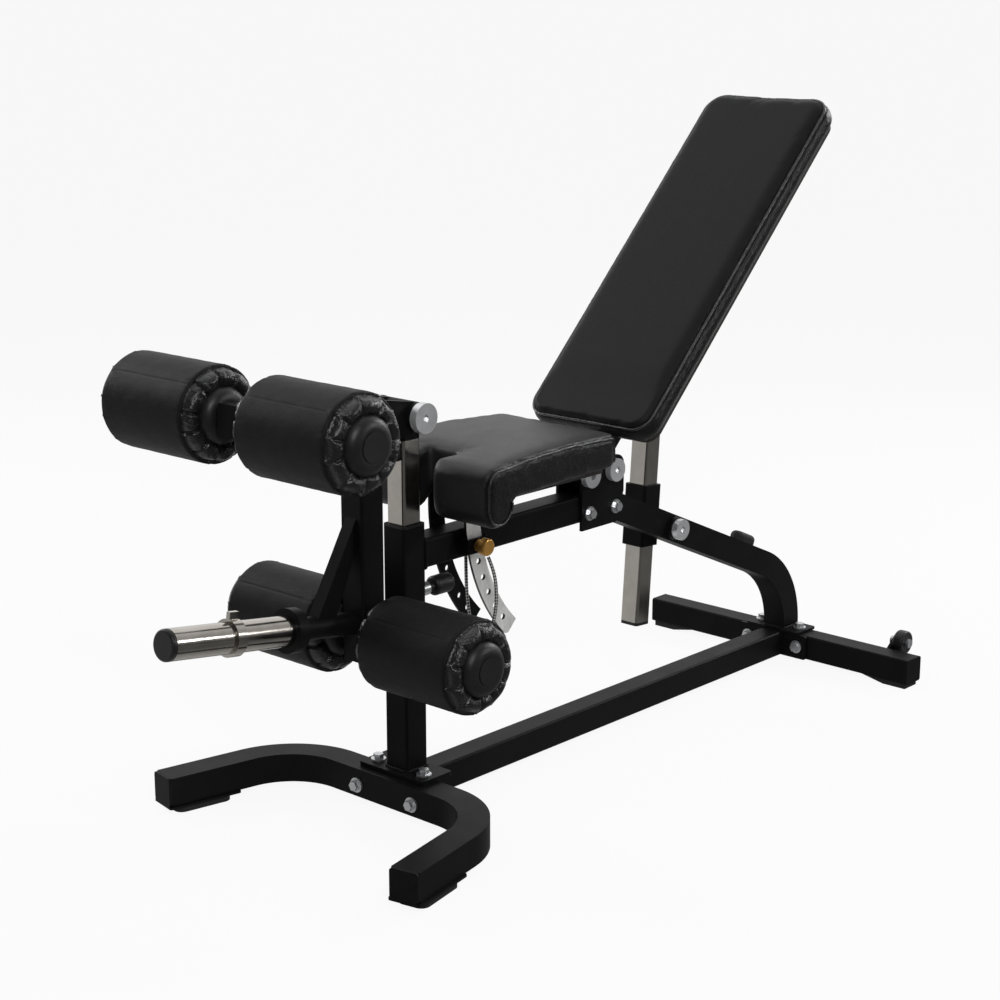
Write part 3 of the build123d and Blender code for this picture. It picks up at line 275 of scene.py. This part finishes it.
def vinyl(name, gloss, shine, crinkle=0.0):
    """Near-black leather-grain vinyl, crinkled to a depth in metres where it is gathered."""
    finish = material(name)
    place = finish.place()
    pebbles = finish.cells(place, 0.0023)
    fine = finish.cloud(place, 0.0008, 2)
    mottle = finish.cloud(place, 0.035, 4)
    creased = pebbles < 0.055
    normal = finish.relief(pebbles * 1.6 + fine * 0.5, 0.0003, 0.8)
    if crinkle:
        drift = finish.node("TexNoise", {"Vector": place, "Scale": 90.0, "Detail": 2.0}, out="Color")
        bend = {0: drift, 1: (0.009, 0.009, 0.009), 2: place}
        bent = finish.node("VectorMath", bend, operation="MULTIPLY_ADD")
        creases = finish.cells(bent, 0.0085) + 0.35 * finish.cells(bent, 0.004)
        folds = creases + 0.8 * finish.cloud(place, 0.016, 2)
        normal = finish.relief(folds, crinkle, 1.0, normal)
    return finish.surface(
        Base_Color=finish.shade(mottle, (0.0070, 0.0070, 0.0077), (0.0105, 0.0105, 0.0112)),
        Roughness=gloss + 0.12 * mottle + 0.12 * creased,
        Specular_IOR_Level=shine,
        Normal=normal,
    )


def powder_coat(name, tone):
    """Satin black powder coat with a faint orange peel."""
    finish = material(name)
    place = finish.place()
    peel = finish.cloud(place, 0.0016, 2)
    wear = finish.cloud(place, 0.06, 5)
    low = (tone * 0.85, tone * 0.85, tone * 0.92)
    high = (tone * 1.25, tone * 1.25, tone * 1.3)
    return finish.surface(
        Base_Color=finish.shade(wear, low, high),
        Roughness=0.36 + 0.16 * wear,
        Specular_IOR_Level=0.08,
        Normal=finish.relief(peel, 0.00018, 0.5),
    )


def plating(name, colour, rough, brushed=0.0, metal=1.0):
    """Plated metal, polished or with fine drawn lines, and duller where it is less of a metal."""
    finish = material(name)
    place = finish.place()
    smear = finish.cloud(place, 0.03, 4)
    lines = finish.cloud(finish.place((1, 1, 0.02)), 0.0006, 2)
    bright = tuple(min(1, part * 1.05) for part in colour)
    dull = tuple(part * 0.86 for part in colour)
    return finish.surface(
        Base_Color=finish.shade(smear, dull, bright),
        Metallic=metal,
        Roughness=rough + 0.08 * smear + 0.12 * brushed * lines,
        Normal=finish.relief(lines, 0.00006 * (0.2 + brushed), 0.5),
    )


def moulded(name, tone, rough, grain=0.0012, shine=0.4):
    """Moulded black plastic or rubber with a fine spark-eroded grain."""
    finish = material(name)
    place = finish.place()
    spark = finish.cloud(place, grain, 3)
    dust = finish.cloud(place, 0.03, 4)
    return finish.surface(
        Base_Color=finish.shade(dust, (tone * 0.8,) * 3, (tone * 1.3,) * 3),
        Roughness=rough + 0.12 * dust,
        Specular_IOR_Level=shine,
        Normal=finish.relief(spark, 0.00025, 0.6),
    )


def strip_with_painted_light(name):
    """Steel strip with light and shade painted into its colour by which way it faces: its two faces painted
    bright as lit steel, its edges and the walls of its holes painted black as shade.
    """
    finish = material(name)
    place = finish.place()
    normal = finish.node("NewGeometry", out="Normal")
    across = finish.node("SeparateXYZ", {"Vector": normal}, out="Y")
    # Painted light: faces turned along y get the bright steel colour as if lit, all other faces get black
    # painted shade
    lit_faces = (across * across) > 0.6
    scratches = finish.cloud(finish.place((1, 1, 0.06)), 0.0012, 3)
    smear = finish.cloud(place, 0.018, 4)
    steel = finish.shade(0.5 * smear + 0.5 * scratches, (0.55, 0.55, 0.54), (0.95, 0.95, 0.93))
    # Black painted shade for the strip's edges and the walls of its holes
    black = (0.006, 0.006, 0.006, 1)
    return finish.surface(
        Base_Color=finish.node("Mix", {0: lit_faces, 6: black, 7: steel}, out=2, data_type="RGBA"),
        Metallic=0.3 * lit_faces,
        Roughness=0.24 + 0.14 * smear,
        Normal=finish.relief(scratches, 0.00008, 0.5),
    )


def stained_board(name):
    """Black-stained plywood under the pads."""
    finish = material(name)
    grain = finish.cloud(finish.place((1, 14, 14)), 0.05, 6)
    return finish.surface(
        Base_Color=finish.shade(grain, (0.011, 0.010, 0.009), (0.032, 0.027, 0.023)),
        Roughness=0.62 + 0.2 * grain,
        Normal=finish.relief(grain, 0.0004, 0.6),
    )


def braid(name):
    """Braided black and white lanyard: the crossing yarns come from the mesh's own attribute."""
    finish = material(name)
    yarn = finish.node("Attribute", out="Fac", attribute_name="yarn")
    fuzz = finish.cloud(finish.place(), 0.0009, 3)
    return finish.surface(
        Base_Color=finish.shade(yarn + 0.12 * fuzz, (0.010, 0.010, 0.011), (0.42, 0.42, 0.41), 0.52, 0.68),
        Roughness=0.75 + 0.15 * fuzz,
        Normal=finish.relief(fuzz, 0.0003, 0.7),
    )


# Finishes of this bench, the vinyl ones by gloss, shine and crinkle
vinyl_back = vinyl("vinyl_back", 0.42, 0.17)
vinyl_seat = vinyl("vinyl_seat", 0.36, 0.42)
vinyl_roller = vinyl("vinyl_roller", 0.44, 0.14)
vinyl_ring = vinyl("vinyl_ring", 0.17, 0.6, 0.0009)
vinyl_side = vinyl("vinyl_side", 0.16, 0.2, 0.0009)
vinyl_piping = vinyl("vinyl_piping", 0.2, 1.0, 0.0006)
frame_paint = powder_coat("frame_paint", 0.006)
chrome = plating("chrome", (0.50, 0.47, 0.43), 0.13)
zinc = plating("zinc", (0.62, 0.63, 0.64), 0.22, 0.5, 0.85)
disc_zinc = plating("disc_zinc", (0.70, 0.71, 0.72), 0.24, 0.3, 0.65)
painted_light_strip = strip_with_painted_light("painted_light_strip")
brass = plating("brass", (0.78, 0.42, 0.10), 0.2, 0.3, 0.6)
cap_plastic = moulded("cap_plastic", 0.010, 0.36)
wheel_plastic = moulded("wheel_plastic", 0.011, 0.32)
rubber = moulded("rubber", 0.011, 0.62, 0.002)
end_plastic = moulded("end_plastic", 0.006, 0.45, shine=0.1)
board = stained_board("board")
lanyard_braid = braid("lanyard_braid")

by_slot = {
    "black_paint": frame_paint,
    "chrome": chrome,
    "zinc": zinc,
    "brass": brass,
    "black_vinyl": vinyl_back,
    "black_plastic": cap_plastic,
    "rubber": rubber,
    "plywood": board,
    "cord": lanyard_braid,
}
by_node = {
    "arm_pivot_bolt": disc_zinc,
    "seat_pivot_bolt": disc_zinc,
    "back_pivot_bolt": disc_zinc,
    "sleeve_shaft": disc_zinc,
    # The near seat strip gets painted light and shade: bright faces, black edges and hole walls
    "seat_strip_near": painted_light_strip,
    "wheel": wheel_plastic,
    "foot_end_caps": end_plastic,
}
for subpart in frame["record"]["subparts"]:
    coats = nodes[subpart["node"]].data.materials
    coats.clear()
    coats.append(by_node.get(subpart["node"], by_slot[subpart["material_slot"]]))


def new_piece(name, points, faces, finishes):
    """Mesh object from points and faces, in the model's frame."""
    mesh = bpy.data.meshes.new(name)
    mesh.from_pydata([tuple(point) for point in points], [], faces)
    piece = bpy.data.objects.new(name, mesh)
    scene.collection.objects.link(piece)
    for finish in finishes:
        mesh.materials.append(finish)
    mesh.shade_smooth()
    return piece


def as_drawn(thing):
    """New mesh of an object as its modifiers or its curve draw it."""
    return bpy.data.meshes.new_from_object(thing.evaluated_get(bpy.context.evaluated_depsgraph_get()))


def take_shape(piece):
    """Applies a piece's modifiers."""
    before = piece.data
    piece.data = as_drawn(piece)
    piece.modifiers.clear()
    bpy.data.meshes.remove(before)


def run_lengths(points):
    """Length of a line up to each of its points."""
    lengths = [0.0]
    for first, second in zip(points, points[1:]):
        lengths.append(lengths[-1] + (second - first).length)
    return lengths


def ring_faces(rings, around, closed_rows=False):
    """Quads between rings of the same count, each ring closed on itself."""
    faces = []
    for row in range(rings if closed_rows else rings - 1):
        after = (row + 1) % rings
        for step in range(around):
            beside = (step + 1) % around
            here, there = row * around, after * around
            faces.append((here + step, here + beside, there + beside, there + step))
    return faces


def end_faces(count, around):
    """The two flat ends of an open tube."""
    return [tuple(reversed(range(around))), tuple(range(count - around, count))]


def tube_along(points, radii, around, closed=False):
    """Points of a tube round a line, with the frame carried along so that it does not twist."""
    count = len(points)
    tube = []
    up = None
    for index, point in enumerate(points):
        before = points[index - 1] if index or closed else point
        after = points[(index + 1) % count] if index < count - 1 or closed else point
        along = (after - before).normalized()
        if up is None:
            up = along.orthogonal().normalized()
        up = (up - along * up.dot(along)).normalized()
        wide = along.cross(up)
        for step in range(around):
            angle = 2 * pi * step / around
            radius = radii(index, angle)
            tube.append(point + (up * cos(angle) + wide * sin(angle)) * radius)
    return tube


# Lanyard of the seat pin, on part.py's route
lanyard_route = [
    (PIN_X, -0.073, 0.4252),
    (0.126, -0.082, 0.408),
    (0.1275, -0.089, 0.378),
    (0.128, -0.088, 0.338),
    (0.130, -0.076, 0.298),
    (0.136, -0.046, 0.270),
    (0.143, -0.015, 0.292),
    (0.147, -0.003, 0.335),
    (0.1485, 0.0005, 0.378),
    (0.149, 0.001, 0.4167),
]
line = bpy.data.curves.new("lanyard_line", "CURVE")
line.dimensions = "3D"
line.resolution_u = 40
spline = line.splines.new("NURBS")
spline.points.add(len(lanyard_route) - 1)
for knot, place in zip(spline.points, lanyard_route):
    knot.co = (*on_bench(*place), 1)
spline.order_u = 3
spline.use_endpoint_u = True
line_object = bpy.data.objects.new("lanyard_line", line)
scene.collection.objects.link(line_object)
bpy.context.view_layer.update()
drawn = as_drawn(line_object)
lanyard_points = [vertex.co.copy() for vertex in drawn.vertices]
bpy.data.objects.remove(line_object)
bpy.data.meshes.remove(drawn)


def make_lanyard(points):
    """Braided tube of crossing yarns, lifted where one crosses over another, and its length."""
    lengths = run_lengths(points)
    yarns = []

    def radius(index, angle):
        climb = 2 * pi * lengths[index] / BRAID_PITCH
        left = cos(2 * angle + climb)
        right = cos(2 * angle - climb)
        yarns.append(0.5 + 0.5 * max(min(3 * left * right, 1), -1))
        return LANYARD_R * (0.9 + 0.1 * max(abs(left), abs(right)))

    rings = tube_along(points, radius, BRAID_AROUND)
    faces = ring_faces(len(points), BRAID_AROUND) + end_faces(len(rings), BRAID_AROUND)
    piece = new_piece("lanyard_cord", rings, faces, [lanyard_braid])
    yarn = piece.data.attributes.new("yarn", "FLOAT", "POINT")
    yarn.data.foreach_set("value", yarns)
    return piece, lengths[-1]


lanyard, lanyard_length = make_lanyard(lanyard_points)
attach(lanyard, "frame")
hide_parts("lanyard")


def rounded_outline(corners, step):
    """Closed outline through corners, each with its own radius, with points about a step apart."""
    outline = []
    count = len(corners)
    for index, (x, y, radius) in enumerate(corners):
        here = Vector((x, y))
        back = (Vector(corners[index - 1][:2]) - here).normalized()
        ahead = (Vector(corners[(index + 1) % count][:2]) - here).normalized()
        half_angle = back.angle(ahead) / 2
        middle = here + (back + ahead).normalized() * (radius / sin(half_angle))
        spoke = here + back * (radius / tan(half_angle)) - middle
        sweep = pi - 2 * half_angle
        if back.x * ahead.y - back.y * ahead.x > 0:
            sweep = -sweep
        parts = max(4, ceil(radius * abs(sweep) / step))
        for part in range(parts + 1):
            angle = sweep * part / parts
            outline.append(middle + Vector((
                spoke.x * cos(angle) - spoke.y * sin(angle),
                spoke.x * sin(angle) + spoke.y * cos(angle))))
    spaced = []
    for first, second in zip(outline, outline[1:] + outline[:1]):
        parts = max(1, round((second - first).length / step))
        spaced += [first.lerp(second, part / parts) for part in range(parts)]
    return spaced


def swollen_copy(name, node, grow):
    """The node's form as a stuffed cover: grown, then swollen by cloth pressure up to a cap."""
    piece = bpy.data.objects.new(name, nodes[node].data.copy())
    scene.collection.objects.link(piece)
    remesh = piece.modifiers.new("even", "REMESH")
    remesh.mode = "VOXEL"
    remesh.voxel_size = PAD_VOXEL
    take_shape(piece)
    normals = [vertex.normal.copy() for vertex in piece.data.vertices]
    for vertex, normal in zip(piece.data.vertices, normals):
        vertex.co += normal * grow
    smooth = piece.modifiers.new("settle", "SMOOTH")
    smooth.factor = 0.5
    smooth.iterations = PAD_SMOOTHING
    take_shape(piece)
    stuff(piece)
    take_level(piece)
    return piece


def stuff(piece):
    """Swells a closed cover by cloth pressure, each point by the cap at most."""
    cloth = piece.modifiers.new("stuffing", "CLOTH")
    cloth.settings.use_pressure = True
    cloth.settings.uniform_pressure_force = PAD_PRESSURE
    cloth.settings.effector_weights.gravity = 0
    for step in range(1, PAD_FRAMES + 1):
        scene.frame_set(step)
    stuffed = as_drawn(piece)
    piece.modifiers.clear()
    scene.frame_set(1)
    for vertex, swollen in zip(piece.data.vertices, stuffed.vertices):
        shift = swollen.co - vertex.co
        vertex.co += shift * min(1, PAD_SWELL / max(shift.length, 1e-9))
    bpy.data.meshes.remove(stuffed)


def take_level(piece):
    """One level of subdivision, applied."""
    level = piece.modifiers.new("level", "SUBSURF")
    level.levels = level.render_levels = 1
    take_shape(piece)
    piece.data.shade_smooth()


def finish_pad(piece, body, node):
    """Hangs a pad on its body in place of the CAD solid, which it hides."""
    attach(piece, body)
    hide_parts(node)


def laid_on(piece, line):
    """Points of a line moved onto a piece's surface."""
    return [piece.closest_point_on_mesh(point)[1] for point in line]


def sew(piece, seams, gather, is_side, finishes):
    """Draws the cover in along its seams and gathers the side panels, which get the second finish."""
    stitches = kdtree.KDTree(sum(len(seam) for seam in seams))
    for index, point in enumerate(point for seam in seams for point in seam):
        stitches.insert(point, index)
    stitches.balance()
    mesh = piece.data
    normals = [vertex.normal.copy() for vertex in mesh.vertices]
    for vertex, normal in zip(mesh.vertices, normals):
        away = stitches.find(vertex.co)[2]
        vertex.co -= normal * SEAM_BITE * exp(-((away / SEAM_WIDTH) ** 2))
        if is_side(normal, vertex.co):
            folds = noise.noise(vertex.co * GATHER_WAVES) + 0.5 * noise.noise(vertex.co * GATHER_FINE_WAVES)
            vertex.co += normal * gather * folds * exp(-away / GATHER_FADE)
    mesh.materials.clear()
    for finish in finishes:
        mesh.materials.append(finish)
    for polygon in mesh.polygons:
        polygon.material_index = 1 if is_side(polygon.normal, polygon.center) else 0


def piping(name, seam, radius, body, closed):
    """Sewn bead along a seam, puckered at its stitches."""
    lengths = run_lengths(seam)

    def bead(index, angle):
        pucker = cos(2 * pi * lengths[index] / STITCH_PITCH)
        uneven = noise.noise(seam[index] * PIPING_WAVES)
        return radius * (1 + STITCH_PUCKER * pucker + PIPING_UNEVEN * uneven)

    rings = tube_along(seam, bead, PIPING_AROUND, closed)
    faces = ring_faces(len(seam), PIPING_AROUND, closed)
    if not closed:
        faces += end_faces(len(rings), PIPING_AROUND)
    piece = new_piece(name, rings, faces, [vinyl_piping])
    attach(piece, body)


# Backrest pad
back_along = Vector((cos(BACK_ANGLE), 0, sin(BACK_ANGLE)))
back_up = Vector((-sin(BACK_ANGLE), 0, cos(BACK_ANGLE)))
back_root = on_bench(BACK_PIVOT[0], 0, BACK_PIVOT[1])
back_face = BACK_BASE + BACK_DEPTH


def back_seam(inset, height):
    """Closed line round the backrest pad at a height above its pivot line."""
    start = BACK_START + inset
    end = BACK_START + BACK_LENGTH - inset
    side = BACK_HALF - inset
    turn = BACK_CORNER - inset
    corners = [(start, -side, turn), (end, -side, turn), (end, side, turn), (start, side, turn)]
    plan = rounded_outline(corners, SEAM_STEP)
    return [back_root + back_along * place.x + Vector((0, place.y, 0)) + back_up * height for place in plan]


def on_back_side(normal, place):
    """Whether a spot of the backrest pad is on its side panels."""
    return normal.dot(back_up) < 0.62


back_pad = swollen_copy("backrest_pad", "back_pad", BACK_GROW)
# The face is flatter near its lower end, so that it clears the seat pad when both are set high
for vertex in back_pad.data.vertices:
    spot = vertex.co - back_root
    proud = max(spot.dot(back_up) - BACK_LOW_FACE, 0)
    rise = min(max((spot.dot(back_along) - BACK_FLAT_END) / BACK_FLAT_FADE, 0), 1)
    vertex.co -= back_up * proud * (1 - rise * rise * (3 - 2 * rise))
back_line = laid_on(back_pad, back_seam(BACK_SEAM_INSET, back_face - BACK_SEAM_DROP))
sew(back_pad, [back_line], BACK_GATHER, on_back_side, [vinyl_back, vinyl_side])
finish_pad(back_pad, "backrest", "back_pad")
piping("backrest_piping", back_line, BACK_BEAD, "backrest", True)

# Seat pad
seat_middle = (SEAT_FRONT + SEAT_REAR) / 2
seat_reach = (SEAT_REAR - SEAT_FRONT) / 2


def seat_panel(hand, inset):
    """Line up the rear of one side panel of the seat pad, along its top and down round its nose."""
    front = SEAT_FRONT + inset
    rear = SEAT_REAR - inset
    top = SEAT_TOP - SEAT_CROWN - inset
    nose = SEAT_NOSE + inset
    under = SEAT_UNDER + inset
    nose_back = SEAT_NOSE_BACK - inset
    profile = rounded_outline([
        (rear, under, SEAT_UNDER_ROUND), (rear, top, SEAT_REAR_ROUND), (front, top, SEAT_FRONT_ROUND),
        (front, nose, SEAT_NOSE_ROUND), (nose_back, nose, SEAT_NOSE_ROUND),
        (nose_back, under, SEAT_UNDER_ROUND),
    ], SEAM_STEP)
    line = []
    for place in profile:
        if place.y < under + 0.001 and place.x > nose_back:
            continue
        share = (place.x - seat_middle) / seat_reach
        lift = min(max((place.y - SEAT_UNDER) / (top - SEAT_UNDER), 0), 1)
        half = SEAT_FRONT_HALF + (SEAT_REAR_HALF - SEAT_FRONT_HALF) * (share + 1) / 2
        line.append(on_bench(place.x, hand * half, place.y + SEAT_CROWN * (1 - share * share) * lift))
    return line


def on_seat_side(normal, place):
    """Whether a spot of the seat pad is on its two side panels."""
    return abs(normal.y) > 0.68 and abs(place.y) > 0.1


seat_pad = swollen_copy("seat_pad_cover", "seat_pad", SEAT_GROW)
# The rear end is kept flat, so that it clears the backrest pad when both are set high
seat_end = on_bench(SEAT_REAR - SEAT_REAR_FLAT, 0, 0).x
for vertex in seat_pad.data.vertices:
    vertex.co.x = min(vertex.co.x, seat_end)
seat_lines = [laid_on(seat_pad, seat_panel(hand, SEAT_SEAM_INSET)) for hand in (-1, 1)]
sew(seat_pad, seat_lines, SEAT_GATHER, on_seat_side, [vinyl_seat, vinyl_side])
finish_pad(seat_pad, "seat", "seat_pad")
for hand, seat_line in zip(("near", "far"), seat_lines):
    piping(f"seat_piping_{hand}", seat_line, SEAT_BEAD, "seat", False)


def roller_end():
    """Rows of a roller's end, from the bar outwards: along, radius, lean of the surface and gathering."""
    rows = [(0.003, ROLLER_BAR_R, pi / 2, 0.0), (0.002, ROLLER_CAP_R - 0.006, pi / 2, 0.0)]
    for part in range(RING_ROWS):
        lean = pi * (1 - RING_SWEEP * part / (RING_ROWS - 1))
        radius = RING_R + RING_HALF * cos(lean)
        depth = RING_OUTER_DEPTH if lean < pi / 2 else RING_INNER_DEPTH
        rows.append((depth * (1 - sin(lean)) - RING_OUT, radius, lean, min(1, part / 3)))
    # Groove between the ring and the sleeve, then the sleeve's rounded edge
    rows.append((GROOVE_START, GROOVE_R, pi / 4, 0.25))
    for part in range(SLEEVE_ROWS):
        lean = pi / 2 * SLEEVE_SWEEP * (1 - part / (SLEEVE_ROWS - 1))
        along = SLEEVE_START - SLEEVE_ROUND * sin(lean)
        rows.append((along, ROLLER_R - SLEEVE_ROUND * (1 - cos(lean)), lean, SLEEVE_GATHER))
    return rows


def turn_between(first, second):
    """Smallest angle between two directions."""
    return abs((first - second + pi) % (2 * pi) - pi)


def pleat_angles(seed):
    """Directions of a roller's pleats, which are not quite evenly spaced."""
    angles = []
    for pleat in range(PLEATS):
        drift = PLEAT_DRIFT * noise.noise(Vector((pleat * 3.1, seed, 0.5)))
        angles.append(2 * pi * (pleat + drift) / PLEATS)
    return angles


def roller_swell(angle, along, r, gather, creases, seed):
    """How far a roller's cover stands off its plain form at a spot, in metres."""
    if r < ROLLER_CAP_R - 0.004:
        return 0.0
    nearest = min(turn_between(angle, crease) for crease in creases)
    fold = exp(-((nearest * r / PLEAT_WIDTH) ** 2))
    puff = 0.5 - 0.5 * cos(min(nearest * PLEATS, pi))
    over, up = cos(angle), sin(angle)
    where = Vector((over * r * RIPPLE_WAVES, up * r * RIPPLE_WAVES, along * RIPPLE_WAVES + seed))
    ripple = noise.noise(where) + 0.5 * noise.noise(where * 2.3)
    crossing = Vector((over * WRINKLE_AROUND, up * WRINKLE_AROUND, along * WRINKLE_WAVES + seed))
    wrinkle = noise.noise(crossing)
    gathered = PLEAT_PUFF * puff - PLEAT_DEPTH * fold + RING_RIPPLE * ripple + RING_WRINKLE * wrinkle
    swell = gather * gathered + SLEEVE_RIPPLE * ripple
    seam = turn_between(angle, SLEEVE_SEAM_ANGLE) * r
    return swell - SLEEVE_SEAM_DEPTH * exp(-((seam / SLEEVE_SEAM_WIDTH) ** 2)) * (1 - gather)


def make_roller(name, node, out, seed):
    """Foam roller in a sewn sleeve, its ends drawn into puffed and pleated rings round the caps."""
    around = ROLLER_AROUND
    low, high = (Vector(corner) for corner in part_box(node))
    middle = (low + high) / 2
    creases = pleat_angles(seed)
    end = roller_end()
    profile = list(end)
    for row in range(1, SLEEVE_BODY_ROWS):
        along = SLEEVE_START + (ROLLER_LENGTH - 2 * SLEEVE_START) * row / SLEEVE_BODY_ROWS
        fade = exp(-min(along, ROLLER_LENGTH - along) / SLEEVE_FADE)
        profile.append((along, ROLLER_R, 0.0, SLEEVE_GATHER * fade))
    profile += [(ROLLER_LENGTH - along, r, pi - lean, gather) for along, r, lean, gather in reversed(end)]
    points = []
    for along, r, lean, gather in profile:
        for step in range(around):
            angle = 2 * pi * step / around
            swell = roller_swell(angle, along, r, gather, creases, seed)
            height = r + swell * cos(lean)
            width = ROLLER_START + along - swell * sin(lean) * (1 if along < ROLLER_LENGTH / 2 else -1)
            points.append((middle.x + height * cos(angle), out * width, middle.z + height * sin(angle)))
    faces = ring_faces(len(profile), around, True)
    if out > 0:
        faces = [tuple(reversed(face)) for face in faces]
    piece = new_piece(name, points, faces, [vinyl_roller, vinyl_ring])
    ring_rows = len(end) - SLEEVE_ROWS
    for polygon in piece.data.polygons:
        row = polygon.index // around
        polygon.material_index = 1 if row < ring_rows or row > len(profile) - 2 - ring_rows else 0
    return piece


roller_places = ("upper", "near", -1), ("upper", "far", 1), ("lower", "near", -1), ("lower", "far", 1)
for number, (row, hand, out) in enumerate(roller_places):
    body = f"roller_{row}_{hand}"
    roller = make_roller(f"sleeve_{row}_{hand}", body, out, number * 1.7)
    finish_pad(roller, body, body)


def weld(name, middle, across, up):
    """Rippled bead round the end of a square tube."""
    plan = rounded_outline([
        (-TUBE_HALF, -TUBE_HALF, TUBE_CORNER), (TUBE_HALF, -TUBE_HALF, TUBE_CORNER),
        (TUBE_HALF, TUBE_HALF, TUBE_CORNER), (-TUBE_HALF, TUBE_HALF, TUBE_CORNER),
    ], WELD_STEP)
    path = [middle + across * place.x + up * place.y for place in plan]

    def ripple(index, angle):
        scale = abs(cos(pi * index / WELD_STEPS_PER_RIPPLE))
        return WELD_R * (0.86 + 0.14 * scale + 0.1 * noise.noise(path[index] * 120))

    faces = ring_faces(len(path), WELD_AROUND, True)
    piece = new_piece(name, tube_along(path, ripple, WELD_AROUND, True), faces, [frame_paint])
    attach(piece, "frame")


# Where a tube stands on a plate or another tube
x_way, y_way, z_way = Vector((1, 0, 0)), Vector((0, 1, 0)), Vector((0, 0, 1))
weld("weld_upright", on_bench(0, 0, 0.072), x_way, y_way)
weld("weld_top_spine", on_bench(0.025, 0, 0.442), y_way, z_way)
weld("weld_rear_leg", on_bench(1.100, 0, 0.065), x_way, y_way)

# Floor, light and background
FLOOR_HALF = 300
floor_corners = [(x * FLOOR_HALF, y * FLOOR_HALF, 0) for x, y in ((-1, -1), (1, -1), (1, 1), (-1, 1))]
floor_mesh = bpy.data.meshes.new("studio_floor")
floor_mesh.from_pydata(floor_corners, [], [(0, 1, 2, 3)])
floor = bpy.data.objects.new("studio_floor", floor_mesh)
floor.location.z = -0.0005
scene.collection.objects.link(floor)


def seen_straight(finish):
    """1 for what the camera sees with nothing in between."""
    return finish.node("LightPath", out="Is Camera Ray")


def seen_mirrored(finish):
    """1 for what is seen in a gloss or through something clear."""
    mirrored = finish.node("LightPath", out="Is Glossy Ray")
    through = finish.node("LightPath", out="Is Transmission Ray")
    return (mirrored + through) > 0.5


# The paper is white to the camera; in what the bench mirrors it grows dark on the near side
paper = material("studio_paper")
pale = paper.node("BsdfDiffuse", {"Color": (0.86, 0.86, 0.86, 1)})
white = paper.node("Emission", {"Color": (1, 1, 1, 1), "Strength": 1.0})
lit = paper.node("MixShader", {0: 0.92 * seen_straight(paper), 1: pale, 2: white})
beside = paper.node("SeparateXYZ", {"Vector": paper.place()}, out="Y")
room_end = paper.node("MapRange", {
    "Value": beside, "From Min": -0.55, "From Max": 0.25, "To Min": 0.02, "To Max": 0.55})
room_floor = paper.node("Emission", {"Color": room_end, "Strength": 1.0})
whole = paper.node("MixShader", {0: 0.85 * seen_mirrored(paper), 1: lit, 2: room_floor})
paper.node("OutputMaterial", {"Surface": whole})
floor_mesh.materials.append(paper.owner)

# The white backdrop stands behind the bench, and the room behind the camera is dim
world = bpy.data.worlds.new("studio")
scene.world = world
air = Finish(world)
heading = air.node("TexCoord", out="Generated")
to_backdrop = {0: heading, 1: (cos(yaw), sin(yaw), 0.1)}
facing = air.node("VectorMath", to_backdrop, out="Value", operation="DOT_PRODUCT")
room = air.shade(facing * 0.5 + 0.5, (0.07, 0.07, 0.075), (1, 1, 1), 0.45, 0.9)
soft = air.node("Background", {"Color": (1, 1, 1, 1), "Strength": 0.22})
mirrored_room = air.node("Background", {"Color": room, "Strength": 1.0})
backdrop = air.node("Background", {"Color": (1, 1, 1, 1), "Strength": 1.0})
indirect = air.node("MixShader", {0: seen_mirrored(air), 1: soft, 2: mirrored_room})
both = air.node("MixShader", {0: seen_straight(air), 1: indirect, 2: backdrop})
air.node("OutputWorld", {"Surface": both})


def softbox(name, place, aim, size, power):
    """Square area light aimed at a point."""
    lamp = bpy.data.lights.new(name, "AREA")
    lamp.shape = "SQUARE"
    lamp.size = size
    lamp.energy = power
    box = bpy.data.objects.new(name, lamp)
    scene.collection.objects.link(box)
    box.location = place
    box.rotation_euler = (Vector(aim) - Vector(place)).to_track_quat("-Z", "Y").to_euler()


softbox("overhead", (-0.2, 0.6, 3.2), (0, 0, 0.4), 3.4, 22)
softbox("key", (-2.3, -2.7, 2.9), (0, 0, 0.5), 0.5, 50)
softbox("side", (1.9, -3.0, 1.7), (0.2, 0, 0.5), 0.45, 24)
softbox("rear", (3.2, -0.6, 1.9), (0.2, 0, 0.5), 0.9, 32)
softbox("far", (-0.7, 3.3, 1.9), (0, 0, 0.5), 0.9, 32)
scene.view_settings.view_transform = "Standard"
